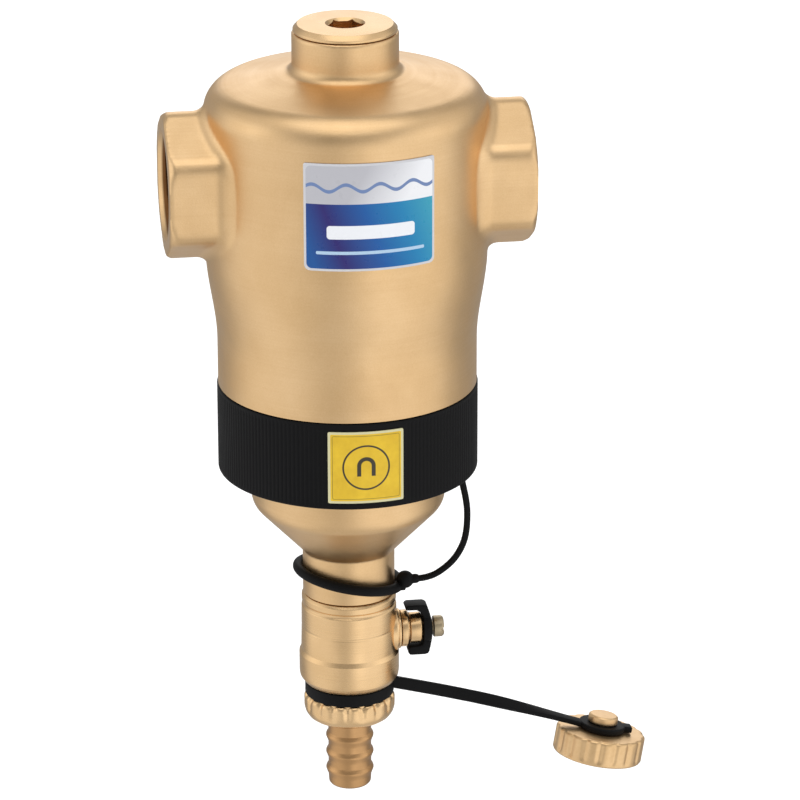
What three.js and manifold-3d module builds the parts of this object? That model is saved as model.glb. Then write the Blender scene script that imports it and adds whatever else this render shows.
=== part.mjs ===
// Magnetic dirt separator for a G 1 (DN 25) heating pipe, 112 mm over its port faces.
// Millimetres, +Z up. The origin is where the port axis (X) crosses the body axis (Z).

import * as THREE from 'three';
import { mergeVertices } from 'three/addons/utils/BufferGeometryUtils.js';
import Module from 'manifold-3d';

const wasm = await Module();
wasm.setup();

// ---- Driving dimensions ----------------------------------------------------------------

const GAP = 0.3;               // clearance between neighbouring pieces
const LARGE_FACETS = 32;       // facets round the body, chamber and collar
const SMALL_FACETS = 20;       // facets round the drain cock and its fittings

// Pipe ports
const PORT_FACE_X = 56;        // half of the length over the port faces
const PORT_ACROSS_FLATS = 41.6;
const PORT_CORNER_RADIUS = 23.0;
const PORT_BORE_RADIUS = 15.15;
const PORT_PASSAGE_RADIUS = 12.6;
const PORT_BORE_END_X = 40.5;
const PORT_ROOT_X = 30;
const PORT_CHAMFER = 1.6;      // outside, on the corners
const PORT_ENTRY = 2.0;        // inside, on the mouth of the bore

// Upper body
const BODY_RADIUS = 43.3;
const SHOULDER_RADIUS = 9;
const SHOULDER_START_Z = 21.8;
const SHOULDER_SWEEP = 77;     // degrees of arc before the sloped top
const DOME_FOOT_RADIUS = 19.3;
const DOME_FOOT_Z = 34.0;
const BOSS_RADIUS = 16.3;
const BOSS_TOP_Z = 46.3;
const BOSS_FILLET = 3;
const SKIRT_RADIUS = 40.1;
const SKIRT_BOTTOM_Z = -65.2;
const TAPER_TOP_Z = -22;
const TAPER_BOTTOM_Z = -51;
const THREAD_RADIUS = 35.0;
const PLUG_BORE_RADIUS = 12.3;
const PLUG_SEAT_RADIUS = 14.8; // recess for the plug's seal
const PLUG_SEAT_DEPTH = 1.2;
const WATER_RADIUS = 38.4;     // widest part of the hollow inside the body
const WATER_TOP_Z = 27;
const WATER_BOTTOM_Z = -49;

// Top plug
const PLUG_HEAD_RADIUS = 15.9;
const PLUG_TOP_Z = 48.8;
const PLUG_FACE_RADIUS = 14.6;
const PLUG_CHAMFER = 1.4;
const PLUG_SHANK_RADIUS = 12;
const PLUG_SHANK_BOTTOM_Z = 33;
const SOCKET_ACROSS_FLATS = 10;
const SOCKET_DEPTH = 7;
const SOCKET_ENTRY_RADIUS = 6.1;

// Filter element: a tube with fins and three rings
const FILTER_TOP_Z = 26.5;
const FILTER_BOTTOM_Z = -100;
const FILTER_TUBE = { inner: 7, outer: 9 };
const FILTER_COLLAR_RADIUS = 13.5;
const FILTER_RING = { inner: 22.4, outer: 24.2, height: 3 };
const FILTER_RING_HEIGHTS = [-96, -60, -24];
const FIN_COUNT = 8;
const FIN_THICKNESS = 1.4;
const FIN_BOTTOM_Z = -97;
const FIN_TOP_Z = 12;
const FIN_WINDOW = new THREE.Vector3(8, 4, 22);
const FIN_WINDOW_RADIUS = 16;
const FIN_WINDOW_HEIGHTS = [-75, -39];
const FILTER_FACETS = 16;

// Lower chamber
const CHAMBER_RADIUS = 30.3;
const CHAMBER_WALL = 2.7;
const CONE_SLOPE = 46.5;       // degrees from level
const BOWL_RADIUS = 6.5;       // arc between the chamber wall and the cone
const BOWL_TOP_Z = -102.2;
const NECK_RADIUS = 14.45;
const NECK_FILLET = 2;
const NECK_BOTTOM_Z = -136.2;
const DRAIN_BORE_RADIUS = 8.5;
const NECK_SOCKET_RADIUS = 10.4;
const NECK_SOCKET_TOP_Z = -125.6;
const SPIGOT_TOP_Z = -48.3;
const O_RING_GROOVE_TOP_Z = -49.6;
const O_RING_GROOVE_BOTTOM_Z = -52;
const O_RING_GROOVE_DEPTH = 1.9;

// Magnet collar
const COLLAR_RADIUS = 40.45;
const COLLAR_BORE_RADIUS = 30.7;
const COLLAR_TOP_Z = -65.55;
const COLLAR_BOTTOM_Z = -93.2;
const COLLAR_EDGE = 0.5;
const MAGNET_COUNT = 8;
const MAGNET_SIZE = new THREE.Vector3(4.6, 15, 20);
const MAGNET_CENTRE_RADIUS = 35.2;
const MAGNET_CENTRE_Z = -78.8;
const COVER_THICKNESS = 1.8;
const COVER_INNER_RADIUS = 31.9;
const COVER_OUTER_RADIUS = 38.3;

// Labels: angle, height and thickness of the two stickers on the front
const LABEL_THICKNESS = 0.3;
const LABEL_CLEARANCE = 0.12;
const FRONT_LABEL = { angle: 53.6, bottom: -15.4, top: 18.0, turn: 2.4 };
const RING_LABEL = { angle: 32.9, bottom: -90.9, top: -67.8, turn: 0.3 };

// Drain cock
const COCK_AXIS_Z = -150.9;    // height of the spindle
const COCK_TOP_Z = -136.5;
const COCK_WIDEST_RADIUS = 15.8;
const COCK_UPPER_RADIUS = 15.0;
const COCK_RIM_RADIUS = 14.6;
const COCK_BORE_RADIUS = 6;
const COCK_CAVITY_RADIUS = 9.6;
const COCK_END_Z = -175.9;
const OUTLET_THREAD_RADIUS = 12.9;
const OUTLET_NECK_RADIUS = 12.0;
const OUTLET_SHOULDER_Z = -166.8;
const BALL_RADIUS = 9;
const SEAT_RADIUS = 9.3;
const SPINDLE_RADIUS = 3.0;
const SPINDLE_HUB_RADIUS = 4.9;
const SPINDLE_SQUARE = 4;
const SIDE_BOSS_RADIUS = 6.4;
const SIDE_BOSS_X = 16.1;
const GLAND_RADIUS = 5.9;
const GLAND_END_X = 18.9;
const HUB_START_X = 19.2;
const HUB_END_X = 23.1;
const HANDLE_WIDTH = 5.6;
const HANDLE_INNER_X = 23.4;
const HANDLE_HUB = 2.4;

// Side view of the handle: [distance from the body axis, height above the spindle]
const HANDLE_OUTLINE = [
  [19.9, -8.5],
  [23.9, -8.5],
  [24.9, -8.3],
  [25.4, -7.6],
  [26.2, -3.6],
  [26.5, 0],
  [26.0, 3.8],
  [24.9, 7.6],
  [24.4, 8.2],
  [23.6, 8.5],
  [18.6, 8.5],
  [17.95, 8.2],
  [17.7, 7.7],
  [17.75, 7.1],
  [18.2, 6.9],
  [21.3, 6.8],
  [22.1, 6.3],
  [22.9, 5.3],
  [HANDLE_INNER_X, 4.6],
  [HANDLE_INNER_X, -4.6],
  [23.0, -5.3],
  [21.8, -5.5],
  [19.2, -5.6],
  [18.8, -5.9],
  [18.65, -6.4],
  [18.75, -7.9],
  [19.2, -8.4],
];
const SCREW_HEAD_RADIUS = 3.4;

// Strap, cap and hose fittings
const STRAP_RING_RADIUS = 14.1;
const STRAP_RING_TOP_Z = -167.1;
const STRAP_RING_BOTTOM_Z = -171.2;
const STRAP_WIDTH = 4.1;
const STRAP_THICKNESS = 1.7;
const STRAP_RISE = 1.0;         // upward bow at the middle of the band
const CAP_CENTRE = new THREE.Vector3(82.0, 0, -189.3);   // middle of the strap's eye
const CAP_TILT = 10.5;         // degrees, the far side hangs lower
const CAP_LEAN = -5;           // degrees, the top leans back
const EYE_RADIUS = 7.5;
const EYE_THICKNESS = 2.0;
const EYE_TAB_END = 9.7;
const EYE_TAB_WIDTH = 4.4;
const BUTTON_NECK_RADIUS = 4.0;
const BUTTON_RADIUS = 4.8;
const BUTTON_TOP = 3.8;        // above the middle of the eye
const CAP_TOP = -1.3;
const CAP_RADIUS = 14.4;
const CAP_HEIGHT = 8.4;
const CAP_ROOF = 2.0;
const CAP_EDGE = 1.1;
const CAP_BORE_RADIUS = 13.2;
const FLUTE_COUNT = 18;
const FLUTE_RADIUS = 1.3;
const NUT_RADIUS = 14.4;
const NUT_TOP_Z = -171.4;
const NUT_EDGE = 0.9;
const NUT_EDGE_HEIGHT = 1.5;
const NUT_BOTTOM_Z = -179.8;
const NUT_HOLE_RADIUS = 8.0;
const NUT_ROUNDING = 4.4;
const NUT_FLUTE_DEPTH = 5.5;
const TAIL_FLANGE_TOP_Z = -177.2;
const TAIL_FLANGE = 1.2;
const TAIL_FLANGE_RADIUS = 12.6;
const TAIL_RIDGE_HEIGHTS = [-197.9, -192.2, -186.5];
const TAIL_RIDGE_RADIUS = 7.6;
const TAIL_GROOVE_RADIUS = 6.85;
const TAIL_TIP_RADIUS = 6.7;
const TAIL_END_Z = -203.2;
const TAIL_BORE_RADIUS = 4.7;
const HOSE_WASHER_TOP_Z = COCK_END_Z - GAP;
const HOSE_WASHER_BOTTOM_Z = TAIL_FLANGE_TOP_Z + GAP;
const HOSE_WASHER_BORE_RADIUS = 6.5;

// Neck loop and tether
const LOOP_RADIUS = 16.3;
const LOOP_SECTION_RADIUS = 1.6;
const LOOP_CENTRE_Z = -131.2;
const LOOP_TILT = 11.2;        // degrees about Y, the handle side is lower
const LOOP_LEAN = -4;          // degrees about X, the front is lifted
const BEAD_CENTRE = new THREE.Vector3(17.1, -5.6, -131.8);
const BEAD_RADIUS = 2.8;
const TETHER_RADIUS = 1.05;
const TETHER_ROUTE = [
  [33.9, -10.0, -93.6],
  [34.0, -10.0, -95.2],
  [34.4, -10.0, -97.4],
  [35.0, -9.9, -100.2],
  [35.7, -9.7, -103.6],
  [36.2, -9.4, -107.4],
  [36.3, -9.1, -111.2],
  [36.1, -8.8, -114.9],
  [35.5, -8.4, -118.4],
  [34.3, -8.0, -121.7],
  [32.3, -7.5, -125.1],
  [29.6, -7.1, -127.9],
  [26.4, -6.6, -130.2],
  [23.3, -6.2, -131.3],
  [20.4, -5.8, -131.7],
];

// ---- Materials -------------------------------------------------------------------------

const MATERIALS = {
  castBrass: new THREE.MeshStandardMaterial({ color: 0xd9b078, roughness: 0.42, metalness: 0.9 }),
  turnedBrass: new THREE.MeshStandardMaterial({ color: 0xe0b87c, roughness: 0.28, metalness: 0.95 }),
  blackPlastic: new THREE.MeshStandardMaterial({ color: 0x1b1b1c, roughness: 0.5, metalness: 0 }),
  greyPlastic: new THREE.MeshStandardMaterial({ color: 0x6d7073, roughness: 0.6, metalness: 0 }),
  seatPlastic: new THREE.MeshStandardMaterial({ color: 0xf1efe9, roughness: 0.4, metalness: 0 }),
  sealRubber: new THREE.MeshStandardMaterial({ color: 0x232323, roughness: 0.8, metalness: 0 }),
  magnet: new THREE.MeshStandardMaterial({ color: 0x9b9da0, roughness: 0.3, metalness: 0.9 }),
  blueLabel: new THREE.MeshStandardMaterial({ color: 0x1f6fb5, roughness: 0.35, metalness: 0 }),
  yellowLabel: new THREE.MeshStandardMaterial({ color: 0xe3b80e, roughness: 0.4, metalness: 0 }),
};

// ---- Helpers ---------------------------------------------------------------------------

const X_AXIS = new THREE.Matrix4().makeRotationY(Math.PI / 2);   // turns +Z to +X
const degrees = THREE.MathUtils.degToRad;

// A closed three.js geometry as a manifold solid.
function solid(geometry) {
  const bare = geometry.clone();
  bare.deleteAttribute('normal');
  bare.deleteAttribute('uv');
  const merged = mergeVertices(bare);
  const corners = merged.index.array;
  const triangles = [];
  for (let i = 0; i < corners.length; i += 3) {
    const [a, b, c] = corners.slice(i, i + 3);
    if (a !== b && b !== c && c !== a) triangles.push(a, b, c);
  }
  const vertProperties = merged.attributes.position.array;
  const triVerts = new Uint32Array(triangles);
  return new wasm.Manifold(new wasm.Mesh({ numProp: 3, vertProperties, triVerts }));
}

// A manifold solid as a named mesh.
function part(name, manifold, material) {
  const { vertProperties, triVerts } = manifold.getMesh();
  const geometry = new THREE.BufferGeometry();
  geometry.setAttribute('position', new THREE.BufferAttribute(vertProperties, 3));
  geometry.setIndex(new THREE.BufferAttribute(triVerts, 1));
  geometry.computeVertexNormals();
  const mesh = new THREE.Mesh(geometry, MATERIALS[material]);
  mesh.name = name;
  return mesh;
}

// Spins an outline of [radius, height] points round Z. The outline runs anticlockwise, and
// closes on itself where it doesn't start on the axis.
function revolve(outline, facets = SMALL_FACETS, place = new THREE.Matrix4()) {
  const points = outline.map(([radius, height]) => new THREE.Vector2(radius, height));
  if (outline[0][0] > 0) points.push(points[0].clone());
  const geometry = new THREE.LatheGeometry(points, facets);
  return solid(geometry.rotateX(Math.PI / 2).applyMatrix4(place));
}

function disc(radius, bottom, top, facets, place) {
  return revolve([[0, bottom], [radius, bottom], [radius, top], [0, top]], facets, place);
}

function ring(inner, outer, bottom, top, facets, place) {
  return revolve([[inner, bottom], [outer, bottom], [outer, top], [inner, top]], facets, place);
}

function block(size, centre, place = new THREE.Matrix4()) {
  const geometry = new THREE.BoxGeometry(...size);
  return solid(geometry.translate(...centre).applyMatrix4(place));
}

// Points on an arc, angles in degrees from the outward direction.
function arc(centreRadius, centreHeight, radius, from, to, steps) {
  const points = [];
  for (let i = 0; i <= steps; i += 1) {
    const angle = degrees(THREE.MathUtils.lerp(from, to, i / steps));
    points.push([centreRadius + radius * Math.cos(angle), centreHeight + radius * Math.sin(angle)]);
  }
  return points;
}

// A six-sided bar along Z.
function hexagon(acrossFlats, bottom, top, place = new THREE.Matrix4()) {
  const corner = acrossFlats / Math.sqrt(3);
  const geometry = new THREE.CylinderGeometry(corner, corner, top - bottom, 6);
  geometry.rotateX(Math.PI / 2).translate(0, 0, (top + bottom) / 2);
  return solid(geometry.applyMatrix4(place));
}

// Cuts a row of upright flutes into a round piece.
function fluted(piece, radius, bottom, top, place = new THREE.Matrix4()) {
  const shift = new THREE.Matrix4().makeTranslation(radius + 0.75 * FLUTE_RADIUS, 0, 0);
  let result = piece;
  for (let i = 0; i < FLUTE_COUNT; i += 1) {
    const turn = new THREE.Matrix4().makeRotationZ((2 * Math.PI * i) / FLUTE_COUNT);
    const flute = place.clone().multiply(turn).multiply(shift);
    result = result.subtract(disc(FLUTE_RADIUS, bottom, top, 6, flute));
  }
  return result;
}

// ---- Upper body, plug and front label --------------------------------------------------

function taperOutline() {
  const points = [];
  const steps = 6;
  for (let i = 0; i <= steps; i += 1) {
    const t = i / steps;
    const blend = t * t * (3 - 2 * t);
    points.push([
      THREE.MathUtils.lerp(SKIRT_RADIUS, BODY_RADIUS, blend),
      THREE.MathUtils.lerp(TAPER_BOTTOM_Z, TAPER_TOP_Z, t),
    ]);
  }
  return points;
}

function bodyShell() {
  const centre = BODY_RADIUS - SHOULDER_RADIUS;
  const shoulder = arc(centre, SHOULDER_START_Z, SHOULDER_RADIUS, 0, SHOULDER_SWEEP, 4);
  const bossFoot = arc(DOME_FOOT_RADIUS, DOME_FOOT_Z + BOSS_FILLET, BOSS_FILLET, 270, 180, 2);
  return revolve([
    [0, SKIRT_BOTTOM_Z],
    [SKIRT_RADIUS, SKIRT_BOTTOM_Z],
    ...taperOutline(),
    ...shoulder,
    ...bossFoot,
    [BOSS_RADIUS, BOSS_TOP_Z],
    [0, BOSS_TOP_Z],
  ], LARGE_FACETS);
}

function port(place) {
  const cornersUp = place.clone().multiply(new THREE.Matrix4().makeRotationZ(Math.PI / 2));
  const bar = hexagon(PORT_ACROSS_FLATS, PORT_ROOT_X, PORT_FACE_X, cornersUp);
  const corners = revolve([
    [0, PORT_ROOT_X - 1],
    [PORT_CORNER_RADIUS, PORT_ROOT_X - 1],
    [PORT_CORNER_RADIUS, PORT_FACE_X - PORT_CHAMFER],
    [PORT_CORNER_RADIUS - PORT_CHAMFER, PORT_FACE_X],
    [0, PORT_FACE_X],
  ], LARGE_FACETS, place);
  return bar.intersect(corners);
}

function portBore(place) {
  const entry = PORT_BORE_RADIUS + PORT_ENTRY;
  return revolve([
    [0, PORT_ROOT_X],
    [PORT_PASSAGE_RADIUS, PORT_ROOT_X],
    [PORT_PASSAGE_RADIUS, PORT_BORE_END_X],
    [PORT_BORE_RADIUS, PORT_BORE_END_X],
    [PORT_BORE_RADIUS, PORT_FACE_X - PORT_ENTRY],
    [entry, PORT_FACE_X],
    [entry, PORT_FACE_X + 1],
    [0, PORT_FACE_X + 1],
  ], SMALL_FACETS, place);
}

function bodyCavity() {
  const water = revolve([
    [0, WATER_BOTTOM_Z],
    [WATER_RADIUS - 2.4, WATER_BOTTOM_Z],
    [WATER_RADIUS - 2.4, WATER_BOTTOM_Z + 5],
    [WATER_RADIUS, TAPER_TOP_Z - 2],
    [WATER_RADIUS, WATER_TOP_Z - 9],
    [WATER_RADIUS - 2.4, WATER_TOP_Z - 3],
    [WATER_RADIUS - 8.4, WATER_TOP_Z],
    [0, WATER_TOP_Z],
  ], SMALL_FACETS);
  const thread = disc(THREAD_RADIUS, SKIRT_BOTTOM_Z - 1, WATER_BOTTOM_Z + 1, LARGE_FACETS);
  const plugBore = disc(PLUG_BORE_RADIUS, WATER_TOP_Z - 1, BOSS_TOP_Z + 1);
  const sealSeat = disc(PLUG_SEAT_RADIUS, BOSS_TOP_Z - PLUG_SEAT_DEPTH, BOSS_TOP_Z + 1);
  return water.add(thread).add(plugBore).add(sealSeat);
}

function upperBody() {
  const left = new THREE.Matrix4().makeRotationY(-Math.PI / 2);
  const outside = bodyShell().add(port(X_AXIS)).add(port(left));
  return outside.subtract(bodyCavity()).subtract(portBore(X_AXIS)).subtract(portBore(left));
}

function topPlug() {
  const seam = BOSS_TOP_Z + GAP;
  const head = revolve([
    [0, PLUG_SHANK_BOTTOM_Z],
    [PLUG_SHANK_RADIUS - 0.8, PLUG_SHANK_BOTTOM_Z],
    [PLUG_SHANK_RADIUS, PLUG_SHANK_BOTTOM_Z + 0.8],
    [PLUG_SHANK_RADIUS, seam],
    [PLUG_HEAD_RADIUS, seam],
    [PLUG_HEAD_RADIUS, PLUG_TOP_Z - PLUG_CHAMFER],
    [PLUG_FACE_RADIUS, PLUG_TOP_Z],
    [0, PLUG_TOP_Z],
  ], LARGE_FACETS);
  const socketBottom = PLUG_TOP_Z - SOCKET_DEPTH;
  const socket = hexagon(SOCKET_ACROSS_FLATS, socketBottom, PLUG_TOP_Z + 1);
  const entry = revolve([
    [0, PLUG_TOP_Z - 1],
    [SOCKET_ENTRY_RADIUS - 0.8, PLUG_TOP_Z - 0.8],
    [SOCKET_ENTRY_RADIUS, PLUG_TOP_Z + 1],
    [0, PLUG_TOP_Z + 1],
  ]);
  return head.subtract(socket).subtract(entry);
}

// A curved sticker on the front of a round surface. turn moves it towards +X, in degrees.
function sticker(radius, { angle, bottom, top, turn }) {
  const inner = radius + LABEL_CLEARANCE;
  const outer = inner + LABEL_THICKNESS;
  const start = degrees(270 + turn - angle / 2);
  const end = degrees(270 + turn + angle / 2);
  const outline = new THREE.Shape();
  outline.absarc(0, 0, outer, start, end, false);
  outline.absarc(0, 0, inner, end, start, true);
  const depth = top - bottom;
  const geometry = new THREE.ExtrudeGeometry(outline, { depth, bevelEnabled: false, curveSegments: 9 });
  return solid(geometry.translate(0, 0, bottom));
}

// ---- Filter element --------------------------------------------------------------------

function filterFin(turn) {
  const reach = FILTER_RING.outer - FIN_THICKNESS / 2 - FILTER_TUBE.outer + 1;
  const centre = [FILTER_TUBE.outer - 1 + reach / 2, 0, (FIN_TOP_Z + FIN_BOTTOM_Z) / 2];
  let fin = block([reach, FIN_THICKNESS, FIN_TOP_Z - FIN_BOTTOM_Z], centre, turn);
  for (const height of FIN_WINDOW_HEIGHTS) {
    fin = fin.subtract(block(FIN_WINDOW.toArray(), [FIN_WINDOW_RADIUS, 0, height], turn));
  }
  return fin;
}

function filterElement() {
  const { inner, outer } = FILTER_TUBE;
  let element = ring(inner, outer, FILTER_BOTTOM_Z, FILTER_TOP_Z, FILTER_FACETS);
  const collar = ring(outer - 1, FILTER_COLLAR_RADIUS, FILTER_TOP_Z - 2, FILTER_TOP_Z, FILTER_FACETS);
  element = element.add(collar);
  for (const height of FILTER_RING_HEIGHTS) {
    const top = height + FILTER_RING.height;
    element = element.add(ring(FILTER_RING.inner, FILTER_RING.outer, height, top, FILTER_FACETS));
  }
  for (let i = 0; i < FIN_COUNT; i += 1) {
    element = element.add(filterFin(new THREE.Matrix4().makeRotationZ((2 * Math.PI * i) / FIN_COUNT)));
  }
  return element;
}

// ---- Lower chamber ---------------------------------------------------------------------

// Height at which a cone running down from a point reaches a radius.
function coneHeight([fromRadius, fromHeight], radius) {
  return fromHeight - (fromRadius - radius) * Math.tan(degrees(CONE_SLOPE));
}

function lowerChamber() {
  const spigotRadius = THREAD_RADIUS - GAP;
  const inner = CHAMBER_RADIUS - CHAMBER_WALL;
  const bowlCentre = CHAMBER_RADIUS - BOWL_RADIUS;
  const bend = 90 - CONE_SLOPE;
  const outerBowl = arc(bowlCentre, BOWL_TOP_Z, BOWL_RADIUS, -bend, 0, 4);
  const innerBowl = arc(bowlCentre, BOWL_TOP_Z, BOWL_RADIUS - CHAMBER_WALL, 0, -bend, 2);
  const coneFoot = coneHeight(outerBowl[0], NECK_RADIUS);
  const filletDrop = NECK_FILLET * Math.tan(degrees(bend / 2));
  const filletCentre = NECK_RADIUS + NECK_FILLET;
  const fillet = arc(filletCentre, coneFoot - filletDrop, NECK_FILLET, 180, 180 - bend, 2);
  return revolve([
    [NECK_SOCKET_RADIUS, NECK_BOTTOM_Z],
    [NECK_RADIUS, NECK_BOTTOM_Z],
    ...fillet,
    ...outerBowl,
    [CHAMBER_RADIUS, SKIRT_BOTTOM_Z],
    [spigotRadius, SKIRT_BOTTOM_Z],
    [spigotRadius, O_RING_GROOVE_BOTTOM_Z],
    [spigotRadius - O_RING_GROOVE_DEPTH, O_RING_GROOVE_BOTTOM_Z],
    [spigotRadius - O_RING_GROOVE_DEPTH, O_RING_GROOVE_TOP_Z],
    [spigotRadius, O_RING_GROOVE_TOP_Z],
    [spigotRadius, SPIGOT_TOP_Z],
    [inner + 3.4, SPIGOT_TOP_Z],
    [inner + 3.4, SKIRT_BOTTOM_Z + 4],
    [inner, SKIRT_BOTTOM_Z - 2],
    ...innerBowl,
    [DRAIN_BORE_RADIUS, coneHeight(innerBowl[2], DRAIN_BORE_RADIUS)],
    [DRAIN_BORE_RADIUS, NECK_SOCKET_TOP_Z],
    [NECK_SOCKET_RADIUS, NECK_SOCKET_TOP_Z],
  ], LARGE_FACETS);
}

// ---- Magnet collar ---------------------------------------------------------------------

function magnetPlace(index) {
  return new THREE.Matrix4().makeRotationZ((2 * Math.PI * (index + 0.5)) / MAGNET_COUNT);
}

function collarShell() {
  const coverSeat = COLLAR_BOTTOM_Z + COVER_THICKNESS + GAP;
  let shell = revolve([
    [COLLAR_BORE_RADIUS, COLLAR_BOTTOM_Z],
    [COLLAR_RADIUS - COLLAR_EDGE, COLLAR_BOTTOM_Z],
    [COLLAR_RADIUS, COLLAR_BOTTOM_Z + COLLAR_EDGE],
    [COLLAR_RADIUS, COLLAR_TOP_Z - COLLAR_EDGE / 2],
    [COLLAR_RADIUS - COLLAR_EDGE / 2, COLLAR_TOP_Z],
    [COLLAR_BORE_RADIUS, COLLAR_TOP_Z],
  ], LARGE_FACETS);
  const seatInner = COVER_INNER_RADIUS - GAP;
  const seatOuter = COVER_OUTER_RADIUS + GAP;
  shell = shell.subtract(ring(seatInner, seatOuter, COLLAR_BOTTOM_Z - 1, coverSeat, LARGE_FACETS));
  const pocket = MAGNET_SIZE.clone().addScalar(2 * GAP);
  const pocketTop = MAGNET_CENTRE_Z + MAGNET_SIZE.z / 2 + GAP;
  const pocketBottom = coverSeat - 1;
  const size = [pocket.x, pocket.y, pocketTop - pocketBottom];
  const centre = [MAGNET_CENTRE_RADIUS, 0, (pocketTop + pocketBottom) / 2];
  for (let i = 0; i < MAGNET_COUNT; i += 1) {
    shell = shell.subtract(block(size, centre, magnetPlace(i)));
  }
  return shell;
}

function magnets() {
  const meshes = [];
  const centre = [MAGNET_CENTRE_RADIUS, 0, MAGNET_CENTRE_Z];
  for (let i = 0; i < MAGNET_COUNT; i += 1) {
    const magnet = block(MAGNET_SIZE.toArray(), centre, magnetPlace(i));
    meshes.push(part(`magnet_${i + 1}`, magnet, 'magnet'));
  }
  return meshes;
}

// ---- Neck loop and tether --------------------------------------------------------------

function neckLoop() {
  const torus = new THREE.TorusGeometry(LOOP_RADIUS, LOOP_SECTION_RADIUS, 8, 30);
  torus.rotateY(degrees(LOOP_TILT)).rotateX(degrees(LOOP_LEAN)).translate(0, 0, LOOP_CENTRE_Z);
  const loop = solid(torus);
  const bead = solid(new THREE.SphereGeometry(BEAD_RADIUS, 12, 8).translate(...BEAD_CENTRE));
  const lug = block([2.8, 2.4, 2.8], [15.7, -6.6, -133.4]);
  const neck = disc(NECK_RADIUS + GAP, NECK_BOTTOM_Z, NECK_BOTTOM_Z + 12, LARGE_FACETS);
  return loop.add(bead).add(lug).subtract(neck);
}

function tetherCord() {
  const route = new THREE.CatmullRomCurve3(TETHER_ROUTE.map((point) => new THREE.Vector3(...point)));
  const section = new THREE.Shape().absarc(0, 0, TETHER_RADIUS, 0, 2 * Math.PI, false);
  const options = { steps: 16, curveSegments: 4, extrudePath: route };
  return solid(new THREE.ExtrudeGeometry(section, options));
}

// ---- Drain cock ------------------------------------------------------------------------

// Moves the X axis shapes to the height of the spindle.
const SPINDLE_PLACE = new THREE.Matrix4().makeTranslation(0, 0, COCK_AXIS_Z).multiply(X_AXIS);

function valveBody() {
  const barrel = revolve([
    [COCK_CAVITY_RADIUS, COCK_END_Z],
    [OUTLET_THREAD_RADIUS - 0.7, COCK_END_Z],
    [OUTLET_THREAD_RADIUS, COCK_END_Z + 0.7],
    [OUTLET_THREAD_RADIUS, NUT_TOP_Z - 0.1],
    [OUTLET_NECK_RADIUS, NUT_TOP_Z + 0.1],
    [OUTLET_NECK_RADIUS, OUTLET_SHOULDER_Z],
    [COCK_WIDEST_RADIUS - 1.6, OUTLET_SHOULDER_Z],
    [COCK_WIDEST_RADIUS - 0.2, OUTLET_SHOULDER_Z + 2],
    [COCK_WIDEST_RADIUS, OUTLET_SHOULDER_Z + 3.4],
    [COCK_WIDEST_RADIUS, OUTLET_SHOULDER_Z + 9.8],
    [COCK_UPPER_RADIUS + 0.2, OUTLET_SHOULDER_Z + 11.2],
    [COCK_UPPER_RADIUS, COCK_TOP_Z - 4.3],
    [COCK_RIM_RADIUS, COCK_TOP_Z - 3.8],
    [COCK_RIM_RADIUS, COCK_TOP_Z - 3.1],
    [COCK_UPPER_RADIUS - 0.1, COCK_TOP_Z - 2.7],
    [COCK_UPPER_RADIUS - 0.1, COCK_TOP_Z - 0.7],
    [COCK_RIM_RADIUS - 0.3, COCK_TOP_Z],
    [10.1, COCK_TOP_Z],
    [10.1, -126.8],
    [9.5, -126.2],
    [COCK_BORE_RADIUS, -126.2],
    [COCK_BORE_RADIUS, -141.6],
    [COCK_CAVITY_RADIUS, -141.6],
  ], 28);
  const boss = ring(3, SIDE_BOSS_RADIUS, 11.5, SIDE_BOSS_X, SMALL_FACETS, SPINDLE_PLACE);
  const glandBore = disc(5.1, 12.4, SIDE_BOSS_X + 1, SMALL_FACETS, SPINDLE_PLACE);
  const spindleBore = disc(SPINDLE_RADIUS + GAP, 8, 13, SMALL_FACETS, SPINDLE_PLACE);
  return barrel.add(boss).subtract(glandBore).subtract(spindleBore);
}

function seat(bottom, top) {
  const ball = new THREE.SphereGeometry(BALL_RADIUS + GAP, 24, 16).translate(0, 0, COCK_AXIS_Z);
  return ring(COCK_BORE_RADIUS, SEAT_RADIUS, bottom, top).subtract(solid(ball));
}

function valveBall() {
  const ball = solid(new THREE.SphereGeometry(BALL_RADIUS, 24, 14).translate(0, 0, COCK_AXIS_Z));
  const bore = disc(5.5, COCK_AXIS_Z - 12, COCK_AXIS_Z + 12, 20);
  const slot = block([4, 3.4, 7.6], [8.6, 0, COCK_AXIS_Z]);
  return ball.subtract(bore).subtract(slot);
}

function spindle() {
  const tongue = block([3.4, 2.6, 5.2], [8.6, 0, COCK_AXIS_Z]);
  const shaft = disc(SPINDLE_RADIUS, 9.6, 20, 20, SPINDLE_PLACE);
  const hub = revolve([
    [0, HUB_START_X],
    [SPINDLE_HUB_RADIUS, HUB_START_X],
    [SPINDLE_HUB_RADIUS, HUB_END_X - 0.6],
    [SPINDLE_HUB_RADIUS - 0.6, HUB_END_X],
    [0, HUB_END_X],
  ], SMALL_FACETS, SPINDLE_PLACE);
  const square = block([4, SPINDLE_SQUARE, SPINDLE_SQUARE], [24.2, 0, COCK_AXIS_Z]);
  const screwHole = disc(1.9, 19.6, 27, 12, SPINDLE_PLACE);
  return tongue.add(shaft).add(hub).add(square).subtract(screwHole);
}

function glandNut() {
  return revolve([
    [SPINDLE_RADIUS + GAP, 14.4],
    [4.8, 14.4],
    [4.8, 16.4],
    [GLAND_RADIUS, 16.4],
    [GLAND_RADIUS, GLAND_END_X - 0.7],
    [GLAND_RADIUS - 0.7, GLAND_END_X],
    [SPINDLE_RADIUS + GAP, GLAND_END_X],
  ], SMALL_FACETS, SPINDLE_PLACE);
}

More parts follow.
